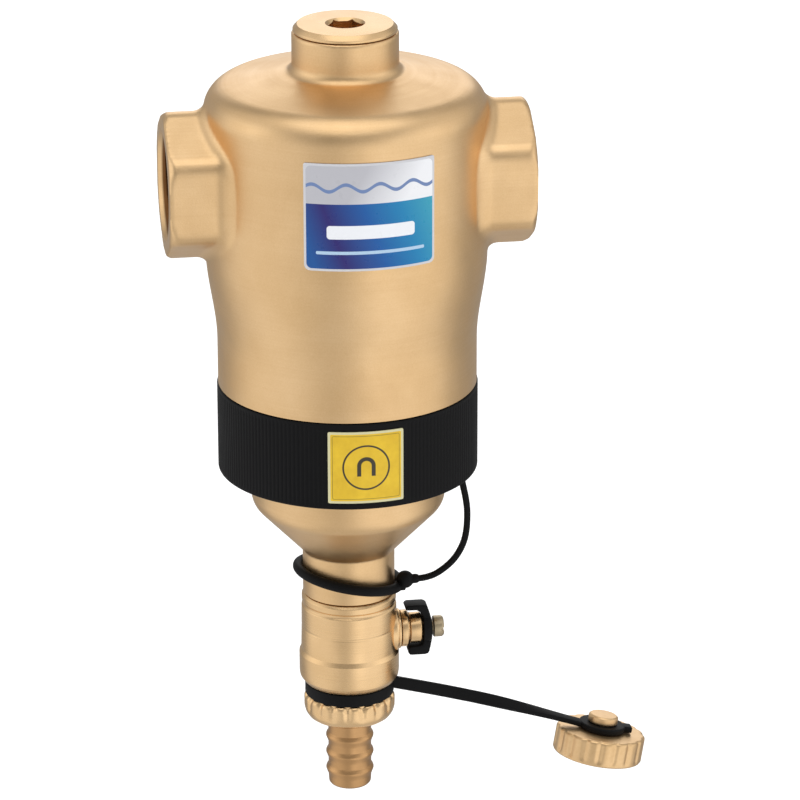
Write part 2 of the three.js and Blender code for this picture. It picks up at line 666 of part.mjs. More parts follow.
// A bowed plate whose two ends bend back towards the cock, on a round hub.
function handle() {
  const outline = new THREE.Shape(HANDLE_OUTLINE.map(([x, z]) => new THREE.Vector2(x, z)));
  const depth = HANDLE_WIDTH;
  const plate = new THREE.ExtrudeGeometry(outline, { depth, bevelEnabled: false });
  plate.rotateX(Math.PI / 2).translate(0, HANDLE_WIDTH / 2, COCK_AXIS_Z);
  const hubEnd = HANDLE_INNER_X + HANDLE_HUB;
  const hub = disc(SPINDLE_HUB_RADIUS, HANDLE_INNER_X, hubEnd, SMALL_FACETS, SPINDLE_PLACE);
  const hole = SPINDLE_SQUARE + 2 * GAP;
  return solid(plate).add(hub).subtract(block([8, hole, hole], [25, 0, COCK_AXIS_Z]));
}

function handleScrew() {
  const head = revolve([
    [0, 20.4],
    [1.6, 20.4],
    [1.6, 26.9],
    [SCREW_HEAD_RADIUS, 26.9],
    [SCREW_HEAD_RADIUS, 29.6],
    [SCREW_HEAD_RADIUS - 0.5, 30.1],
    [0, 30.1],
  ], 20, SPINDLE_PLACE);
  return head.subtract(block([2, 9, 1.2], [30.2, 0, COCK_AXIS_Z]));
}

// ---- Cap strap, cap and hose fittings --------------------------------------------------

// The frame of the hanging cap: its own Z is the cap's axis, up through the button.
const CAP_PLACE = new THREE.Matrix4()
  .makeTranslation(CAP_CENTRE)
  .multiply(new THREE.Matrix4().makeRotationX(degrees(CAP_LEAN)))
  .multiply(new THREE.Matrix4().makeRotationY(degrees(CAP_TILT)));

// A flat band that leaves the ring on edge and turns flat on its way to the eye.
function strapBand() {
  const start = new THREE.Vector3(13.4, 0, (STRAP_RING_TOP_Z + STRAP_RING_BOTTOM_Z) / 2);
  const end = new THREE.Vector3(-EYE_RADIUS + 0.8, 0, 0).applyMatrix4(CAP_PLACE);
  const geometry = new THREE.BoxGeometry(1, 1, 1, 20, 1, 1);
  const position = geometry.attributes.position;
  const point = new THREE.Vector3();
  for (let i = 0; i < position.count; i += 1) {
    point.fromBufferAttribute(position, i);
    const t = point.x + 0.5;
    const turn = (Math.PI / 2) * (1 - THREE.MathUtils.smoothstep(t, 0.15, 0.95));
    const y = point.y * STRAP_WIDTH;
    const z = point.z * STRAP_THICKNESS;
    const centre = start.clone().lerp(end, t);
    centre.z += STRAP_RISE * Math.sin(Math.PI * t);
    position.setXYZ(
      i,
      centre.x,
      y * Math.cos(turn) - z * Math.sin(turn),
      centre.z + y * Math.sin(turn) + z * Math.cos(turn),
    );
  }
  return solid(geometry);
}

function capStrap() {
  const bore = OUTLET_NECK_RADIUS + GAP;
  const band = strapBand();
  const clampRing = ring(bore, STRAP_RING_RADIUS, STRAP_RING_BOTTOM_Z, STRAP_RING_TOP_Z);
  const eye = disc(EYE_RADIUS, -EYE_THICKNESS / 2, EYE_THICKNESS / 2, SMALL_FACETS, CAP_PLACE);
  const tab = block([4, EYE_TAB_WIDTH, EYE_THICKNESS], [EYE_TAB_END - 2, 0, 0], CAP_PLACE);
  const eyeHole = disc(BUTTON_NECK_RADIUS + GAP, -2, 2, SMALL_FACETS, CAP_PLACE);
  const boreCut = disc(bore, STRAP_RING_BOTTOM_Z - 1, STRAP_RING_TOP_Z + 1);
  return clampRing.add(band).add(eye).add(tab).subtract(eyeHole).subtract(boreCut);
}

function drainCap() {
  const bottom = CAP_TOP - CAP_HEIGHT;
  const buttonFoot = EYE_THICKNESS / 2 + GAP;
  const shell = revolve([
    [0, bottom],
    [CAP_RADIUS, bottom],
    [CAP_RADIUS, CAP_TOP - CAP_EDGE],
    [CAP_RADIUS - CAP_EDGE, CAP_TOP],
    [BUTTON_NECK_RADIUS, CAP_TOP],
    [BUTTON_NECK_RADIUS, buttonFoot],
    [BUTTON_RADIUS, buttonFoot],
    [BUTTON_RADIUS, BUTTON_TOP - 0.5],
    [BUTTON_RADIUS - 0.6, BUTTON_TOP],
    [0, BUTTON_TOP],
  ], 36, CAP_PLACE);
  const hollow = disc(CAP_BORE_RADIUS, bottom - 1, CAP_TOP - CAP_ROOF, SMALL_FACETS, CAP_PLACE);
  return fluted(shell.subtract(hollow), CAP_RADIUS, bottom - 1, CAP_TOP + 0.2, CAP_PLACE);
}

function capGasket() {
  const top = CAP_TOP - CAP_ROOF - GAP;
  return ring(6, 12.8, top - 1.6, top, SMALL_FACETS, CAP_PLACE);
}

function hoseNut() {
  const lipTop = TAIL_FLANGE_TOP_Z - TAIL_FLANGE - GAP;
  const shell = revolve([
    [NUT_HOLE_RADIUS, NUT_BOTTOM_Z],
    [NUT_RADIUS - NUT_ROUNDING, NUT_BOTTOM_Z],
    ...arc(NUT_RADIUS - NUT_ROUNDING, NUT_BOTTOM_Z + NUT_ROUNDING, NUT_ROUNDING, -60, 0, 3),
    [NUT_RADIUS, NUT_TOP_Z - NUT_EDGE_HEIGHT],
    [NUT_RADIUS - NUT_EDGE, NUT_TOP_Z],
    [OUTLET_THREAD_RADIUS + GAP, NUT_TOP_Z],
    [OUTLET_THREAD_RADIUS + GAP, lipTop],
    [NUT_HOLE_RADIUS, lipTop],
  ], 36);
  return fluted(shell, NUT_RADIUS, NUT_TOP_Z - NUT_FLUTE_DEPTH, NUT_TOP_Z + 1);
}

function hoseWasher() {
  return ring(HOSE_WASHER_BORE_RADIUS, TAIL_FLANGE_RADIUS, HOSE_WASHER_BOTTOM_Z, HOSE_WASHER_TOP_Z);
}

function hoseTail() {
  const outline = [[TAIL_BORE_RADIUS, TAIL_END_Z], [TAIL_TIP_RADIUS - 0.5, TAIL_END_Z]];
  outline.push([TAIL_TIP_RADIUS, TAIL_END_Z + 0.6]);
  for (const ridge of TAIL_RIDGE_HEIGHTS) {
    outline.push([TAIL_GROOVE_RADIUS, ridge - 2.2]);
    outline.push([TAIL_RIDGE_RADIUS, ridge - 0.4]);
    outline.push([TAIL_RIDGE_RADIUS, ridge + 0.5]);
    outline.push([TAIL_GROOVE_RADIUS, ridge + 1.6]);
  }
  outline.push([TAIL_GROOVE_RADIUS, TAIL_FLANGE_TOP_Z - TAIL_FLANGE]);
  outline.push([TAIL_FLANGE_RADIUS, TAIL_FLANGE_TOP_Z - TAIL_FLANGE]);
  outline.push([TAIL_FLANGE_RADIUS, TAIL_FLANGE_TOP_Z]);
  outline.push([TAIL_BORE_RADIUS, TAIL_FLANGE_TOP_Z]);
  return revolve(outline);
}

// ---- The assembly ----------------------------------------------------------------------

function bodyGroup() {
  const group = new THREE.Group();
  const plugSeal = ring(PLUG_BORE_RADIUS + 0.1, PLUG_SEAT_RADIUS - GAP, BOSS_TOP_Z - 0.9, BOSS_TOP_Z);
  const oRing = ring(33.1, 34.8, O_RING_GROOVE_BOTTOM_Z + GAP, O_RING_GROOVE_TOP_Z - GAP, LARGE_FACETS);
  group.add(part('upper_body', upperBody(), 'castBrass'));
  group.add(part('top_plug', topPlug(), 'turnedBrass'));
  group.add(part('plug_seal', plugSeal, 'sealRubber'));
  group.add(part('front_label', sticker(BODY_RADIUS, FRONT_LABEL), 'blueLabel'));
  group.add(part('filter_element', filterElement(), 'greyPlastic'));
  group.add(part('lower_chamber', lowerChamber(), 'castBrass'));
  group.add(part('chamber_o_ring', oRing, 'sealRubber'));
  group.add(part('neck_loop', neckLoop(), 'blackPlastic'));
  group.add(part('tether_cord', tetherCord(), 'blackPlastic'));
  return group;
}

function collarGroup() {
  const group = new THREE.Group();
  const coverTop = COLLAR_BOTTOM_Z + COVER_THICKNESS;
  const cover = ring(COVER_INNER_RADIUS, COVER_OUTER_RADIUS, COLLAR_BOTTOM_Z, coverTop, LARGE_FACETS);
  group.add(part('magnet_ring', collarShell(), 'blackPlastic'));
  group.add(part('magnet_ring_cover', cover, 'blackPlastic'));
  group.add(part('ring_label', sticker(COLLAR_RADIUS, RING_LABEL), 'yellowLabel'));
  group.add(...magnets());
  return group;
}

function cockGroup() {
  const group = new THREE.Group();
  group.add(part('valve_body', valveBody(), 'turnedBrass'));
  group.add(part('seat_upper', seat(-146.2, -141.9), 'seatPlastic'));
  group.add(part('valve_ball', valveBall(), 'turnedBrass'));
  group.add(part('seat_lower', seat(-160.7, -156.4), 'seatPlastic'));
  group.add(part('seat_retainer', ring(COCK_BORE_RADIUS, SEAT_RADIUS, -165.5, -161), 'turnedBrass'));
  group.add(part('packing_ring', ring(3.3, 4.8, 12.7, 14.1, SMALL_FACETS, SPINDLE_PLACE), 'seatPlastic'));
  group.add(part('gland_nut', glandNut(), 'turnedBrass'));
  group.add(part('spindle', spindle(), 'turnedBrass'));
  group.add(part('handle', handle(), 'blackPlastic'));
  group.add(part('handle_screw', handleScrew(), 'turnedBrass'));
  return group;
}

function outletGroup() {
  const group = new THREE.Group();
  group.add(part('cap_strap', capStrap(), 'blackPlastic'));
  group.add(part('drain_cap', drainCap(), 'turnedBrass'));
  group.add(part('cap_gasket', capGasket(), 'sealRubber'));
  group.add(part('hose_nut', hoseNut(), 'turnedBrass'));
  group.add(part('hose_washer', hoseWasher(), 'sealRubber'));
  group.add(part('hose_tail', hoseTail(), 'turnedBrass'));
  return group;
}

const separator = new THREE.Group();
separator.add(bodyGroup(), collarGroup(), cockGroup(), outletGroup());

export default separator;
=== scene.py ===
"""Magnetic dirt separator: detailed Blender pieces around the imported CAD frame.

Shapes are written in millimetres, in the frame of the CAD model, and become metres when a mesh is made.
"""

from contextlib import contextmanager
from functools import partialmethod
from math import cos, degrees, hypot, pi, radians, sin, sqrt, tan

import bmesh
import bpy
import numpy as np
from mathutils import Matrix, Vector


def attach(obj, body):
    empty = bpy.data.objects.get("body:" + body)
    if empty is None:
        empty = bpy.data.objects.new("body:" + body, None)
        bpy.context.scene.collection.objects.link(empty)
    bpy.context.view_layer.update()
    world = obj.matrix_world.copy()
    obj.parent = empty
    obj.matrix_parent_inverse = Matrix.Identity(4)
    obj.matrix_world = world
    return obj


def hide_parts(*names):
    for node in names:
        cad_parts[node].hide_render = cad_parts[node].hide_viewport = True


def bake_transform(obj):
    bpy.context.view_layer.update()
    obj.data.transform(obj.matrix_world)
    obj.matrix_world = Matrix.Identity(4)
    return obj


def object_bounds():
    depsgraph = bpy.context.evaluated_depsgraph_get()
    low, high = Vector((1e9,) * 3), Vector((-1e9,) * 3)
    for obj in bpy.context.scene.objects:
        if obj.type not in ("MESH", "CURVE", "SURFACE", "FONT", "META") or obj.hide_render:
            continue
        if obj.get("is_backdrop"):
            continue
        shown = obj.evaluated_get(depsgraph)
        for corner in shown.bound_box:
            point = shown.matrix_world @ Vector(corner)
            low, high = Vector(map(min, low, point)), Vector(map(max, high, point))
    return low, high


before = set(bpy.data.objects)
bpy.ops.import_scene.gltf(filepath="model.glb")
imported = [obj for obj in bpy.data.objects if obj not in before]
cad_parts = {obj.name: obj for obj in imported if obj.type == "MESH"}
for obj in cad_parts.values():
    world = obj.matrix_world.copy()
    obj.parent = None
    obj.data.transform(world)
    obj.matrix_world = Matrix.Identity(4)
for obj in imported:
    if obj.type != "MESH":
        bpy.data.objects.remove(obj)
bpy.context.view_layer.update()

MM = 0.001
UP = Matrix.Identity(4)
ALONG_X = Matrix.Rotation(pi / 2, 4, "Y")  # turns +Z to +X

# ---- Camera ----

CAMERA_DISTANCE = 1.4
CAMERA_ELEVATION = radians(20.637)
CAMERA_AZIMUTH = radians(-8.272)
CAMERA_ROLL = radians(-0.128)
CAMERA_TARGET = Vector((0.016467, 0, -0.07358))
CAMERA_LENS = 202.35


def heading(turn, rise):
    """A unit vector, turned from the front towards +X and then raised, in radians."""
    return (sin(turn) * cos(rise), -cos(turn) * cos(rise), sin(rise))


def make_camera():
    data = bpy.data.cameras.new("camera")
    data.lens = CAMERA_LENS
    data.sensor_width = 36
    data.clip_end = 50
    camera = bpy.data.objects.new("camera", data)
    back = Vector(heading(CAMERA_AZIMUTH, CAMERA_ELEVATION))
    right = Vector((0, 0, 1)).cross(back).normalized()
    turn = Matrix((right, back.cross(right), back)).transposed().to_4x4()
    place = Matrix.Translation(CAMERA_TARGET + back * CAMERA_DISTANCE)
    camera.matrix_world = place @ turn @ Matrix.Rotation(CAMERA_ROLL, 4, "Z")
    bpy.context.scene.collection.objects.link(camera)
    bpy.context.scene.camera = camera


make_camera()

# ---- Mesh tools ----


def mesh_object(name, points, faces, place=UP):
    """A mesh object from points in millimetres."""
    mesh = bpy.data.meshes.new(name)
    points = np.asarray(points, float) @ np.array(place.to_3x3()).T + np.array(place.translation)
    mesh.from_pydata((points * MM).tolist(), [], faces)
    mesh.update()
    obj = bpy.data.objects.new(name, mesh)
    bpy.context.scene.collection.objects.link(obj)
    return obj


def smooth(obj, angle=38):
    """Smooth shading with sharp edges kept above an angle in degrees."""
    obj.data.polygons.foreach_set("use_smooth", [True] * len(obj.data.polygons))
    obj.data.set_sharp_from_angle(angle=radians(angle))
    return obj


def apply_modifiers(obj):
    graph = bpy.context.evaluated_depsgraph_get()
    old = obj.data
    obj.data = bpy.data.meshes.new_from_object(obj.evaluated_get(graph))
    obj.data.name = obj.name
    obj.modifiers.clear()
    bpy.data.meshes.remove(old)
    return obj


def boolean(obj, others, operation="DIFFERENCE"):
    """Cuts the other solids out of a solid, or adds them to it, and removes them."""
    for other in others:
        modifier = obj.modifiers.new("boolean", "BOOLEAN")
        modifier.operation = operation
        modifier.solver = "MANIFOLD"
        modifier.object = other
    bpy.context.view_layer.update()
    apply_modifiers(obj)
    for other in others:
        bpy.data.objects.remove(other)


def bevel(obj, width, angle=35):
    modifier = obj.modifiers.new("bevel", "BEVEL")
    modifier.width = width * MM
    modifier.segments = 3
    modifier.limit_method = "ANGLE"
    modifier.angle_limit = radians(angle)
    modifier.harden_normals = False
    return apply_modifiers(obj)


def arc(centre_radius, centre_height, radius, start, end, steps):
    """Points on an arc, angles in degrees from the outward direction."""
    angles = np.radians(np.linspace(start, end, steps + 1))
    return [(centre_radius + radius * cos(a), centre_height + radius * sin(a)) for a in angles]


def rectangle(inner, outer, low, high):
    """The outline of a flat ring, or of a disc when inner is 0."""
    return [(inner, low), (outer, low), (outer, high), (inner, high)]


def soften(outline, radius=0.3, steps=3):
    """Rounds the corners of an outline. Corners on the axis stay."""
    result = []
    count = len(outline)
    for i, point in enumerate(outline):
        here = Vector(point)
        before = Vector(outline[i - 1]) - here
        after = Vector(outline[(i + 1) % count]) - here
        shortest = min(before.length, after.length)
        turn = pi - before.angle(after, 0) if shortest > 1e-6 else 0
        if point[0] < 1e-6 or turn < radians(18) or shortest < 0.08:
            result.append(tuple(here))
            continue
        reach = min(radius * tan(turn / 2), 0.45 * shortest)
        start = here + before.normalized() * reach
        end = here + after.normalized() * reach
        for k in range(steps + 1):
            t = k / steps
            result.append(tuple(start * (1 - t) ** 2 + here * 2 * t * (1 - t) + end * t ** 2))
    return result


def lathe(name, outline, segments=96, place=UP, shape=None):
    """Spins an anticlockwise outline of (radius, height) round Z. It closes on itself, or on the axis.
    shape(radius, height, angle) may change the radius."""
    outline = np.array(outline, float)
    angles = np.linspace(0, 2 * pi, segments, endpoint=False)
    radius = np.repeat(outline[:, :1], segments, 1)
    height = np.repeat(outline[:, 1:], segments, 1)
    if shape:
        radius = shape(radius, height, angles[None, :])
    points = np.stack([radius * np.cos(angles), radius * np.sin(angles), height], 2).reshape(-1, 3)
    on_axis = outline[:, 0] < 1e-6
    faces = []
    rows = len(outline)
    for i in range(rows):
        j = (i + 1) % rows
        if on_axis[i] and on_axis[j]:
            continue
        for k in range(segments):
            m = (k + 1) % segments
            a, b, c, d = i * segments + k, i * segments + m, j * segments + m, j * segments + k
            if on_axis[i]:
                faces.append((i * segments, c, d))
            elif on_axis[j]:
                faces.append((a, b, j * segments))
            else:
                faces.append((a, b, c, d))
    obj = mesh_object(name, points, faces, place)
    tidy(obj)
    return smooth(obj)


@contextmanager
def edited(obj):
    """The object's mesh as a bmesh, written back at the end."""
    work = bmesh.new()
    work.from_mesh(obj.data)
    yield work
    work.to_mesh(obj.data)
    work.free()


def tidy(obj):
    """Drops loose points, such as the spare ones on a lathe's axis."""
    with edited(obj) as work:
        loose = [v for v in work.verts if not v.link_faces]
        bmesh.ops.delete(work, geom=loose, context="VERTS")


def block(name, size, centre, place=UP):
    """A box in millimetres."""
    corners = [(x, y, z) for x in (-0.5, 0.5) for y in (-0.5, 0.5) for z in (-0.5, 0.5)]
    points = np.array(corners) * np.array(size) + np.array(centre)
    faces = [(0, 1, 3, 2), (4, 6, 7, 5), (0, 4, 5, 1), (2, 3, 7, 6), (0, 2, 6, 4), (1, 5, 7, 3)]
    return mesh_object(name, points, faces, place)


def prism(name, polygon, low, high, place=UP):
    """A flat anticlockwise polygon pulled up from low to high along Z."""
    count = len(polygon)
    points = [(x, y, low) for x, y in polygon] + [(x, y, high) for x, y in polygon]
    faces = [tuple(reversed(range(count))), tuple(range(count, 2 * count))]
    for i in range(count):
        j = (i + 1) % count
        faces.append((i, j, count + j, count + i))
    return mesh_object(name, points, faces, place)


def sweep(name, path, section):
    """A closed section, a list of (side, up) pairs or a function of t, swept along a path with flat ends."""
    path = np.array(path, float)
    tangents = np.gradient(path, axis=0)
    tangents /= np.linalg.norm(tangents, axis=1)[:, None]
    side = np.cross(tangents[0], (0, 0, 1.0))
    side /= np.linalg.norm(side)
    points = []
    for i, (centre, tangent) in enumerate(zip(path, tangents)):
        side = side - tangent * side.dot(tangent)
        side /= np.linalg.norm(side)
        up = np.cross(side, tangent)
        outline = section(i / (len(path) - 1)) if callable(section) else section
        points += [centre + side * a + up * b for a, b in outline]
    count = len(outline)
    faces = [tuple(range(count)), tuple(reversed(range(len(points) - count, len(points))))]
    for i in range(len(path) - 1):
        for k in range(count):
            m = (k + 1) % count
            faces.append((i * count + k, (i + 1) * count + k, (i + 1) * count + m, i * count + m))
    obj = mesh_object(name, points, faces)
    with edited(obj) as work:
        bmesh.ops.recalc_face_normals(work, faces=work.faces)
    return smooth(obj, 50)


def circle(radius, sides):
    angles = np.linspace(0, 2 * pi, sides, endpoint=False)
    return [(radius * cos(a), radius * sin(a)) for a in angles]


# ---- Solids from distance fields, for the cast pieces with fillets ----


class Profile:
    """Signed distance to a solid of revolution round Z, from a table over radius and height."""

    STEP = 0.2
    SPARE_OUT, SPARE_DOWN, SPARE_UP = 18, 5, 8  # how far the table reaches past the outline

    def __init__(self, outline):
        outline = np.array(outline, float)
        self.low = np.array([-1.0, outline[:, 1].min() - self.SPARE_DOWN])
        high = np.array([outline[:, 0].max() + self.SPARE_OUT, outline[:, 1].max() + self.SPARE_UP])
        counts = np.ceil((high - self.low) / self.STEP).astype(int) + 1
        r = self.low[0] + self.STEP * np.arange(counts[0])
        z = self.low[1] + self.STEP * np.arange(counts[1])
        grid = np.stack(np.meshgrid(r, z, indexing="ij"), 2)
        nearest = np.full(counts, 1e9)
        inside = np.zeros(counts, bool)
        for start, end in zip(outline, np.roll(outline, -1, 0)):
            along = end - start
            t = np.clip(((grid - start) @ along) / max(along @ along, 1e-9), 0, 1)
            gap = np.linalg.norm(grid - start - t[..., None] * along, axis=2)
            if start[0] > 1e-6 or end[0] > 1e-6:
                nearest = np.minimum(nearest, gap)
            crosses = (start[1] > grid[..., 1]) != (end[1] > grid[..., 1])
            rise = along[1] if abs(along[1]) > 1e-9 else 1e-9
            inside ^= crosses & (grid[..., 0] < start[0] + (grid[..., 1] - start[1]) * along[0] / rise)
        inside[grid[..., 0] < 0] = False
        mirror = np.searchsorted(r, 0)
        self.table = np.where(inside, -nearest, nearest)
        self.table[:mirror] = self.table[mirror]

    def __call__(self, radius, height):
        u = np.clip((radius - self.low[0]) / self.STEP, 0, self.table.shape[0] - 1.001)
        v = np.clip((height - self.low[1]) / self.STEP, 0, self.table.shape[1] - 1.001)
        i, j = u.astype(int), v.astype(int)
        u, v = u - i, v - j
        near = self.table[i, j] * (1 - v) + self.table[i, j + 1] * v
        far = self.table[i + 1, j] * (1 - v) + self.table[i + 1, j + 1] * v
        return near * (1 - u) + far * u


def round_union(a, b, radius):
    """Distance to two solids together, with a fillet where they meet."""
    corner = np.hypot(np.maximum(radius - a, 0), np.maximum(radius - b, 0))
    return np.maximum(radius, np.minimum(a, b)) - corner


def round_intersection(a, b, radius):
    """Distance to what two solids share, with a rounded edge."""
    corner = np.hypot(np.maximum(radius + a, 0), np.maximum(radius + b, 0))
    return np.minimum(-radius, np.maximum(a, b)) + corner


SNAP_ROUNDS = 6
SNAP_REACH = 0.7  # furthest move of a point, as a share of the grid step


def field_mesh(name, field, low, high, step):
    """The surface where a distance field is zero.

    Surface nets give the faces, then each point is moved onto the true surface."""
    low = np.array(low, float)
    counts = np.ceil((np.array(high) - low) / step).astype(int) + 1
    axes = [low[k] + step * np.arange(counts[k]) for k in range(3)]
    grid = np.stack(np.meshgrid(*axes, indexing="ij"), 3).reshape(-1, 3)
    values = np.concatenate([field(part) for part in np.array_split(grid, 24)]).reshape(counts)
    inside = values < 0
    cells = counts - 1
    total = np.zeros((*cells, 3))
    hits = np.zeros(cells)
    corners = [(i, j, k) for i in (0, 1) for j in (0, 1) for k in (0, 1)]

    def at(array, corner):
        return array[tuple(slice(c, c + n) for c, n in zip(corner, cells))]

    for a in corners:
        for axis in range(3):
            if a[axis]:
                continue
            b = tuple(c + (k == axis) for k, c in enumerate(a))
            crossing = at(inside, a) != at(inside, b)
            va, vb = at(values, a), at(values, b)
            t = np.where(crossing, va / np.where(crossing, va - vb, 1), 0)
            for k in range(3):
                total[..., k] += crossing * (a[k] + (t if k == axis else 0))
            hits += crossing
    used = hits > 0
    index = np.full(cells, -1)
    index[used] = np.arange(used.sum())
    base = np.argwhere(used)
    points = low + step * (base + total[used] / hits[used][:, None])
    faces = []
    for axis in range(3):
        u, v = (axis + 1) % 3, (axis + 2) % 3
        first = inside.take(range(counts[axis] - 1), axis)
        edge = np.argwhere(first != inside.take(range(1, counts[axis]), axis))
        ok = (edge[:, u] > 0) & (edge[:, v] > 0) & (edge[:, u] < cells[u]) & (edge[:, v] < cells[v])
        edge = edge[ok]
        quad = []
        for du, dv in ((-1, -1), (0, -1), (0, 0), (-1, 0)):
            cell = edge.copy()
            cell[:, u] += du
            cell[:, v] += dv
            quad.append(index[tuple(cell.T)])
        quad = np.stack(quad, 1)
        flip = ~first[tuple(edge.T)]
        quad[flip] = quad[flip][:, ::-1]
        faces.append(quad)
    faces = np.concatenate(faces)
    start = points.copy()
    furthest = SNAP_REACH * step
    for _ in range(SNAP_ROUNDS):
        points = points - steepest(field, points)
        points = start + np.clip(points - start, -furthest, furthest)
    return smooth(mesh_object(name, points, faces.tolist()), 62)


def steepest(field, points):
    """The shortest move that brings each point to the field's zero."""
    reach = 0.03
    value = field(points)
    slope = np.zeros_like(points)
    for k in range(3):
        step = np.zeros(3)
        step[k] = reach
        slope[:, k] = (field(points + step) - field(points - step)) / (2 * reach)
    return slope * (value / np.maximum((slope ** 2).sum(1), 0.05))[:, None]


# ---- Materials ----


class Nodes:
    """Short ways to build the node tree of a material or world."""

    def __init__(self, owner):
        owner.use_nodes = True
        self.owner = owner
        self.tree = owner.node_tree
        self.shader = self.tree.nodes.get("Principled BSDF") or self.tree.nodes["Background"]

    def new(self, kind, inputs=None, **settings):
        node = self.tree.nodes.new(kind)
        for key, value in settings.items():
            setattr(node, key, value)
        for key, value in (inputs or {}).items():
            self.set(node.inputs[key], value)
        return node

    def set(self, socket, value):
        if isinstance(value, bpy.types.NodeSocket):
            self.tree.links.new(value, socket)
        else:
            socket.default_value = value

    def place(self, scale=(1, 1, 1)):
        """Object coordinates, scaled."""
        where = self.new("ShaderNodeTexCoord").outputs["Object"]
        return self.new("ShaderNodeVectorMath", {0: where, 1: scale}, operation="MULTIPLY").outputs[0]

    def noise(self, scale, detail=3.0, stretch=(1, 1, 1), roughness=0.55):
        inputs = {"Vector": self.place(stretch), "Scale": scale, "Detail": detail, "Roughness": roughness}
        return self.new("ShaderNodeTexNoise", inputs).outputs["Fac"]

    def math(self, operation, a, b=0.0):
        return self.new("ShaderNodeMath", {0: a, 1: b}, operation=operation).outputs[0]

    plus = partialmethod(math, "ADD")
    minus = partialmethod(math, "SUBTRACT")
    times = partialmethod(math, "MULTIPLY")
    size = partialmethod(math, "ABSOLUTE")

    def length(self, a, b):
        """Length of the vector (a, b)."""
        return self.math("SQRT", self.plus(self.times(a, a), self.times(b, b)))

    def between(self, value, low, high, to_low, to_high):
        inputs = {"Value": value, "From Min": low, "From Max": high, "To Min": to_low, "To Max": to_high}
        return self.new("ShaderNodeMapRange", inputs).outputs[0]

    def spread(self, noise, low, high):
        return self.between(noise, 0.3, 0.7, low, high)

    def ramp(self, value, stops):
        node = self.new("ShaderNodeValToRGB", {"Fac": value})
        ramp = node.color_ramp
        while len(ramp.elements) < len(stops):
            ramp.elements.new(0.5)
        for element, (position, colour) in zip(ramp.elements, stops):
            element.position = position
            element.color = (*colour, 1)
        return node.outputs["Color"]

    def mix(self, factor, a, b):
        node = self.new("ShaderNodeMix", data_type="RGBA")
        for socket, value in ((node.inputs[0], factor), (node.inputs[6], a), (node.inputs[7], b)):
            self.set(socket, (*value, 1) if isinstance(value, tuple) else value)
        return node.outputs[2]

    def bump(self, height, strength, distance, normal=None):
        inputs = {"Height": height, "Strength": strength, "Distance": distance}
        if normal is not None:
            inputs["Normal"] = normal
        return self.new("ShaderNodeBump", inputs).outputs[0]

    def surface(self, colour, roughness, normal):
        for name, value in (("Base Color", colour), ("Roughness", roughness), ("Normal", normal)):
            self.set(self.shader.inputs[name], value)


# Painted shade: dark brown colour laid inside the port bores, where little light reaches.
BORE_SHADE_COLOUR = (0.17, 0.075, 0.025)
BORE_WALL = (16.4 * MM, 16.9 * MM)  # the painted bore shade fades out over each of these
BORE_DEEP = (37 * MM, 38 * MM)
BORE_MOUTH = (54.5 * MM, 55.1 * MM)


def painted_bore_shade(n):
    """1 inside the bores of the two ports, where dark brown is painted in as shade."""
    x, y, z = n.new("ShaderNodeSeparateXYZ", {0: n.place()}).outputs
    near_axis = n.between(n.length(y, z), *BORE_WALL, 1.0, 0.0)
    far_out = n.between(n.size(x), *BORE_DEEP, 0.0, 1.0)
    behind_face = n.between(n.size(x), *BORE_MOUTH, 1.0, 0.0)
    return n.times(n.times(near_axis, far_out), behind_face)


BRASS_DARK = (0.74, 0.49, 0.245)
BRASS_LIGHT = (0.86, 0.60, 0.335)
LINE_ALONG = 14.0  # noise scale along the turned lines and across them
LINE_ACROSS = 2600.0
LINE_HEIGHT = 0.00004
LINE_FADE = 14  # millimetres below line_top over which the lines grow to full height
LINE_FAINT = 0.22  # their share above it


def brass(name, roughness, grain, grain_height, line_axis=None, line_top=None, ports=False,
          dark=BRASS_DARK, light=BRASS_LIGHT):
    """Brass with cast grain, and turned lines across line_axis (0 for X, 2 for Z).

    The lines are faint above line_top. With ports, the two port bores get painted shade in dark brown."""
    n = Nodes(bpy.data.materials.new(name))
    n.shader.inputs["Metallic"].default_value = 1.0
    cloud = n.noise(38, 4)
    speck = n.noise(grain, 2)
    blend = n.plus(n.times(cloud, 0.65), n.times(speck, 0.35))
    colour = n.ramp(blend, [(0.32, dark), (0.68, light)])
    normal = n.bump(speck, 0.55, grain_height)
    rough = n.spread(n.noise(90, 4), roughness - 0.05, roughness + 0.06)
    if line_axis is not None:
        stretch = [LINE_ALONG] * 3
        stretch[line_axis] = LINE_ACROSS
        lines = n.noise(1.0, 3, tuple(stretch), 0.7)
        tall = lines
        if line_top is not None:
            axes = n.new("ShaderNodeSeparateXYZ", {0: n.place()})
            fade = n.between(axes.outputs[line_axis], line_top * MM, (line_top - LINE_FADE) * MM, LINE_FAINT, 1.0)
            tall = n.times(lines, fade)
        normal = n.bump(tall, 0.7, LINE_HEIGHT, normal)
        rough = n.plus(rough, n.spread(lines, -0.035, 0.035))
        colour = n.mix(n.between(lines, 0.25, 0.75, 0.0, 0.35), colour, dark)
    # painted shade: the port bores are darkened with a dark brown colour
    if ports:
        colour = n.mix(painted_bore_shade(n), colour, BORE_SHADE_COLOUR)
    n.surface(colour, rough, normal)
    return n.owner


def moulded(name, dark, light, roughness, grain=1800, height=0.00003, specular=0.5):
    """Moulded plastic or rubber with a fine spark-eroded grain."""
    n = Nodes(bpy.data.materials.new(name))
    n.shader.inputs["Specular IOR Level"].default_value = specular
    fine = n.noise(grain, 2)
    broad = n.noise(60, 3)
    blend = n.plus(n.times(fine, 0.4), n.times(broad, 0.6))
    n.surface(n.ramp(blend, [(0.3, dark), (0.7, light)]),
              n.spread(broad, roughness - 0.05, roughness + 0.07), n.bump(fine, 0.5, height))
    return n.owner


